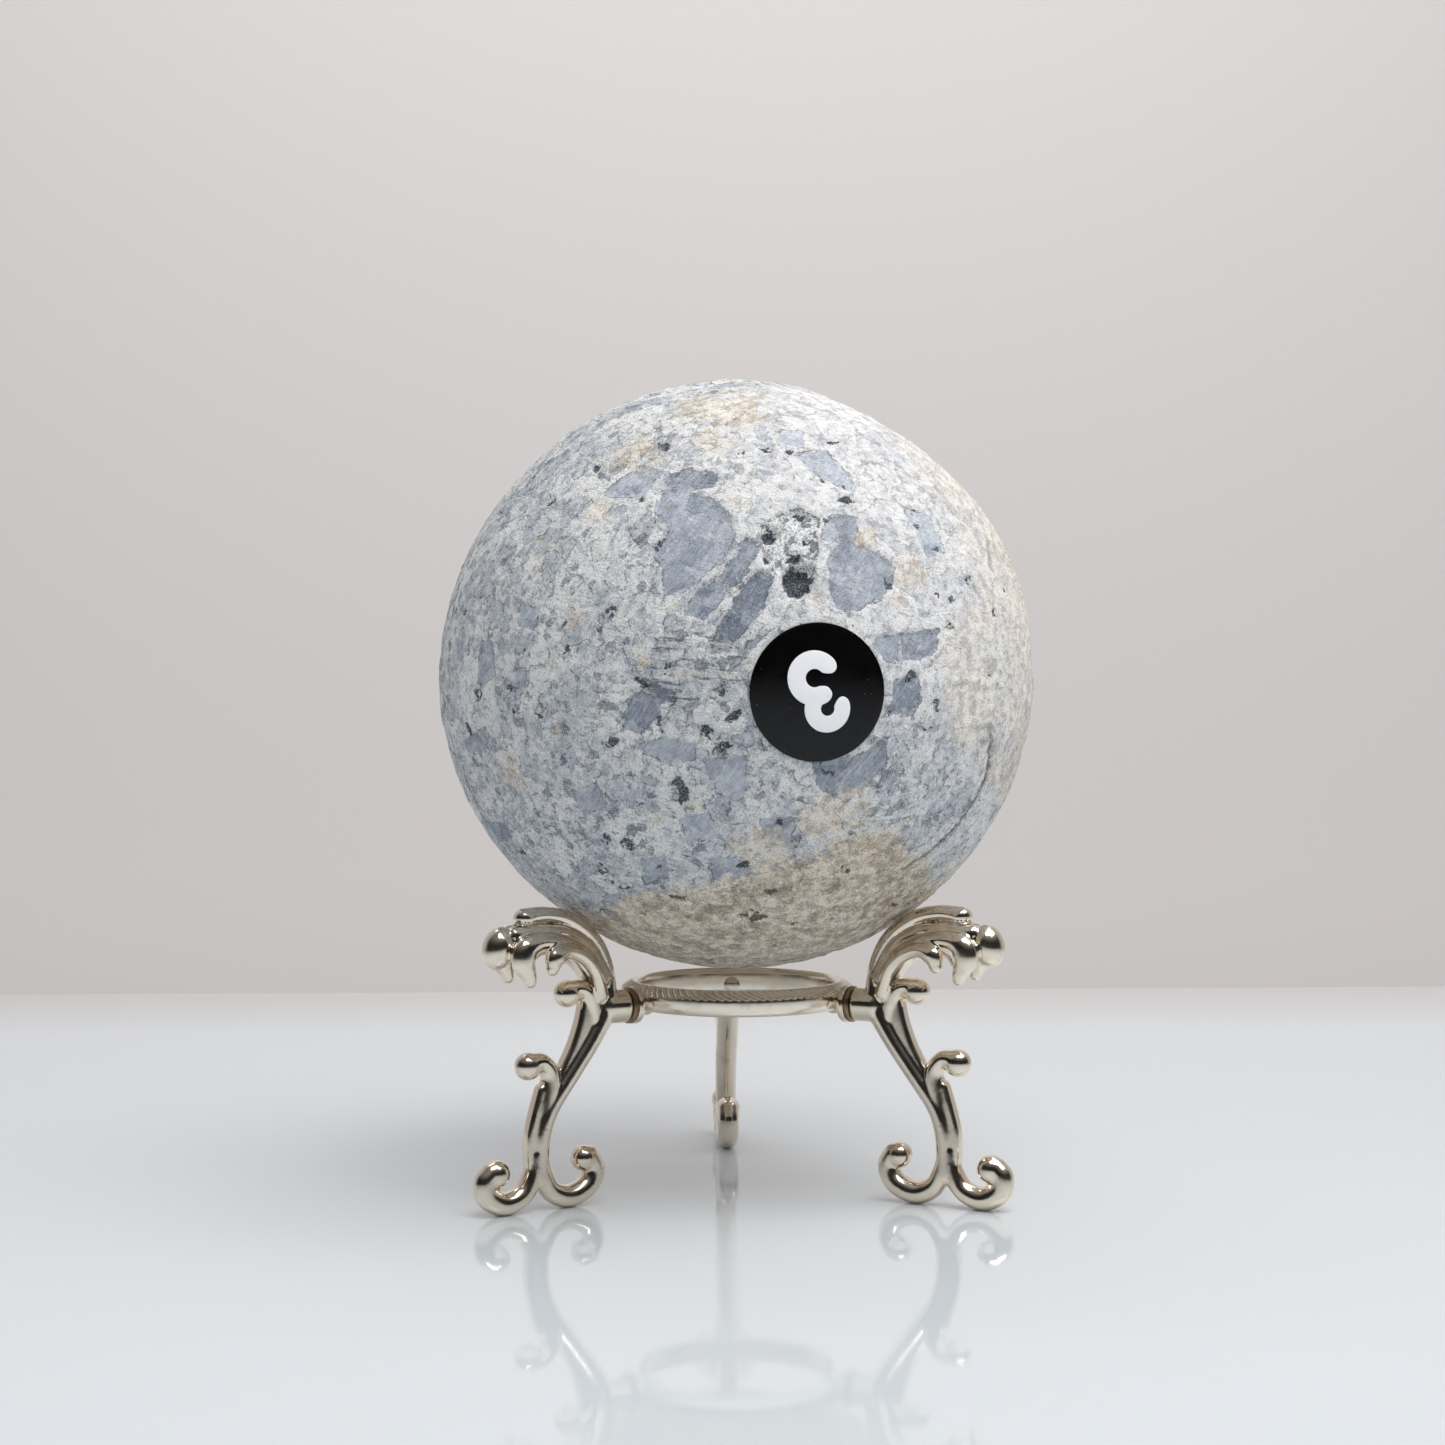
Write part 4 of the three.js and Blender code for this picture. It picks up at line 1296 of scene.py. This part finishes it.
lamps = {
    # place, what it is aimed at, size, watts, colour
    "overheadSoftbox": ((0.34, -0.2, 0.85), (0, 0, 0.06), (0.55, 0.55), 3.75, (1.0, 0.985, 0.97)),
    "frontOverhead": ((0.03, -0.34, 0.8), (0, 0, 0.06), (0.34, 0.34), 1.6, (1.0, 0.99, 0.98)),
    "wallWash": ((0.0, 0.3, 0.8), (0, 0.75, 0.35), (0.8, 0.2), 1.85, (1.0, 0.99, 0.985)),
}

# Strength of the even light at each side, and what is added in mirrored rays
air = {
    "left": 0.56,
    "right": 0.95,
    "behind": 0.6,
    "above": 0.26,
    "least": 0.015,
}


def slab(name, low, high, material):
    # a box from its lowest to its highest corner, its edges rounded by a bevel
    x, y, z = (np.array([a, b]) for a, b in zip(low, high))
    points = np.array([(a, b, c) for a in x for b in y for c in z])
    faces = np.array([(0, 1, 3, 2), (4, 6, 7, 5), (0, 4, 5, 1), (2, 3, 7, 6), (0, 2, 6, 4), (1, 5, 7, 3)])
    piece = makePiece(name, points, faces, scale=1)
    piece.data.shade_flat()
    bevel = piece.modifiers.new("edge", "BEVEL")
    bevel.width = 0.002
    bevel.segments = 3
    piece.data.materials.append(material)
    return piece


def plainMaterial(name, colour, farColour, roughness, gloss):
    # one colour, which turns into another along the last stretch before the table's back edge
    material, tree, shader = newMaterial(name)
    at = objectMillimetres(tree)
    split = tree.nodes.new("ShaderNodeSeparateXYZ")
    put(tree, split.inputs[0], at)
    back = studio["tableBack"] / mm
    far = stepNode(tree, split.outputs[1], back - studio["fade"] / mm, back)
    put(tree, shader.inputs["Base Color"], mixColour(tree, far, rgb(*colour), rgb(*farColour)))
    shader.inputs["Specular IOR Level"].default_value = gloss
    smear = noiseNode(tree, at, 0.02, 4, 0.6)
    put(tree, shader.inputs["Roughness"], stepNode(tree, smear, 0.3, 0.7, roughness, roughness * 1.4))
    return material


def areaLight(name, place, aim, size, power, colour):
    data = bpy.data.lights.new(name, "AREA")
    data.shape = "RECTANGLE"
    data.size, data.size_y = size
    data.energy = power
    data.color = colour
    lamp = bpy.data.objects.new(name, data)
    lamp.location = place
    lamp.rotation_euler = (Vector(aim) - Vector(place)).to_track_quat("-Z", "Y").to_euler()
    bpy.context.scene.collection.objects.link(lamp)


print("studio")
reach = studio["tableReach"]
table = plainMaterial("glossTable", studio["tableColour"], studio["tableFarColour"], 0.04, 0.36)
slab("table_top", (-reach, -reach, -studio["tableDepth"]), (reach, studio["tableBack"], 0), table)
wall = plainMaterial("wallPaint", studio["wallColour"], studio["wallColour"], 0.9, 0.3)
slab("wall", (-3, studio["wallAt"], -1.5), (3, studio["wallAt"] + 0.02, 2.5), wall)
for name, values in lamps.items():
    areaLight(name, *values)


def studioAir():
    # even light, stronger towards the right; mirrored rays see a room that is dark in front and
    # bright behind and above
    world = bpy.data.worlds.new("studioAir")
    world.use_nodes = True
    tree = world.node_tree
    direction = tree.nodes.new("ShaderNodeTexCoord").outputs["Generated"]
    split = tree.nodes.new("ShaderNodeSeparateXYZ")
    put(tree, split.inputs[0], direction)
    side = stepNode(tree, split.outputs[0], -1.0, 1.0, air["left"], air["right"])
    behind = product(tree, stepNode(tree, split.outputs[1], -0.2, 0.45), air["behind"])
    above = stepNode(tree, split.outputs[2], 0.35, 0.85, 0.0, air["above"])
    mirrored = mathNode(tree, "MULTIPLY_ADD", total(tree, behind, above), side)
    mirrored.node.inputs[2].default_value = air["least"]
    glossy = tree.nodes.new("ShaderNodeLightPath").outputs["Is Glossy Ray"]
    mix = tree.nodes.new("ShaderNodeMix")
    put(tree, mix.inputs[0], glossy)
    put(tree, mix.inputs[2], side)
    put(tree, mix.inputs[3], mirrored)
    background = tree.nodes["Background"]
    background.inputs[0].default_value = rgb(251, 249, 249)
    put(tree, background.inputs[1], mix.outputs[0])
    return world


bpy.context.scene.world = studioAir()

print("camera")
turn = math.radians(frontTurn)
ahead = Vector((-math.sin(turn), math.cos(turn), 0))
right = Vector((math.cos(turn), math.sin(turn), 0))
cameraData = bpy.data.cameras.new("camera")
cameraData.lens = studio["lens"]
cameraData.sensor_width = studio["sensor"]
camera = bpy.data.objects.new("camera", cameraData)
camera.location = -ahead * studio["cameraDistance"] - right * studio["cameraShiftLeft"]
camera.location.z = studio["cameraHeight"]
camera.rotation_euler = (math.pi / 2, 0, turn)
bpy.context.scene.collection.objects.link(camera)
bpy.context.scene.camera = camera
bpy.context.scene.view_settings.view_transform = "Standard"
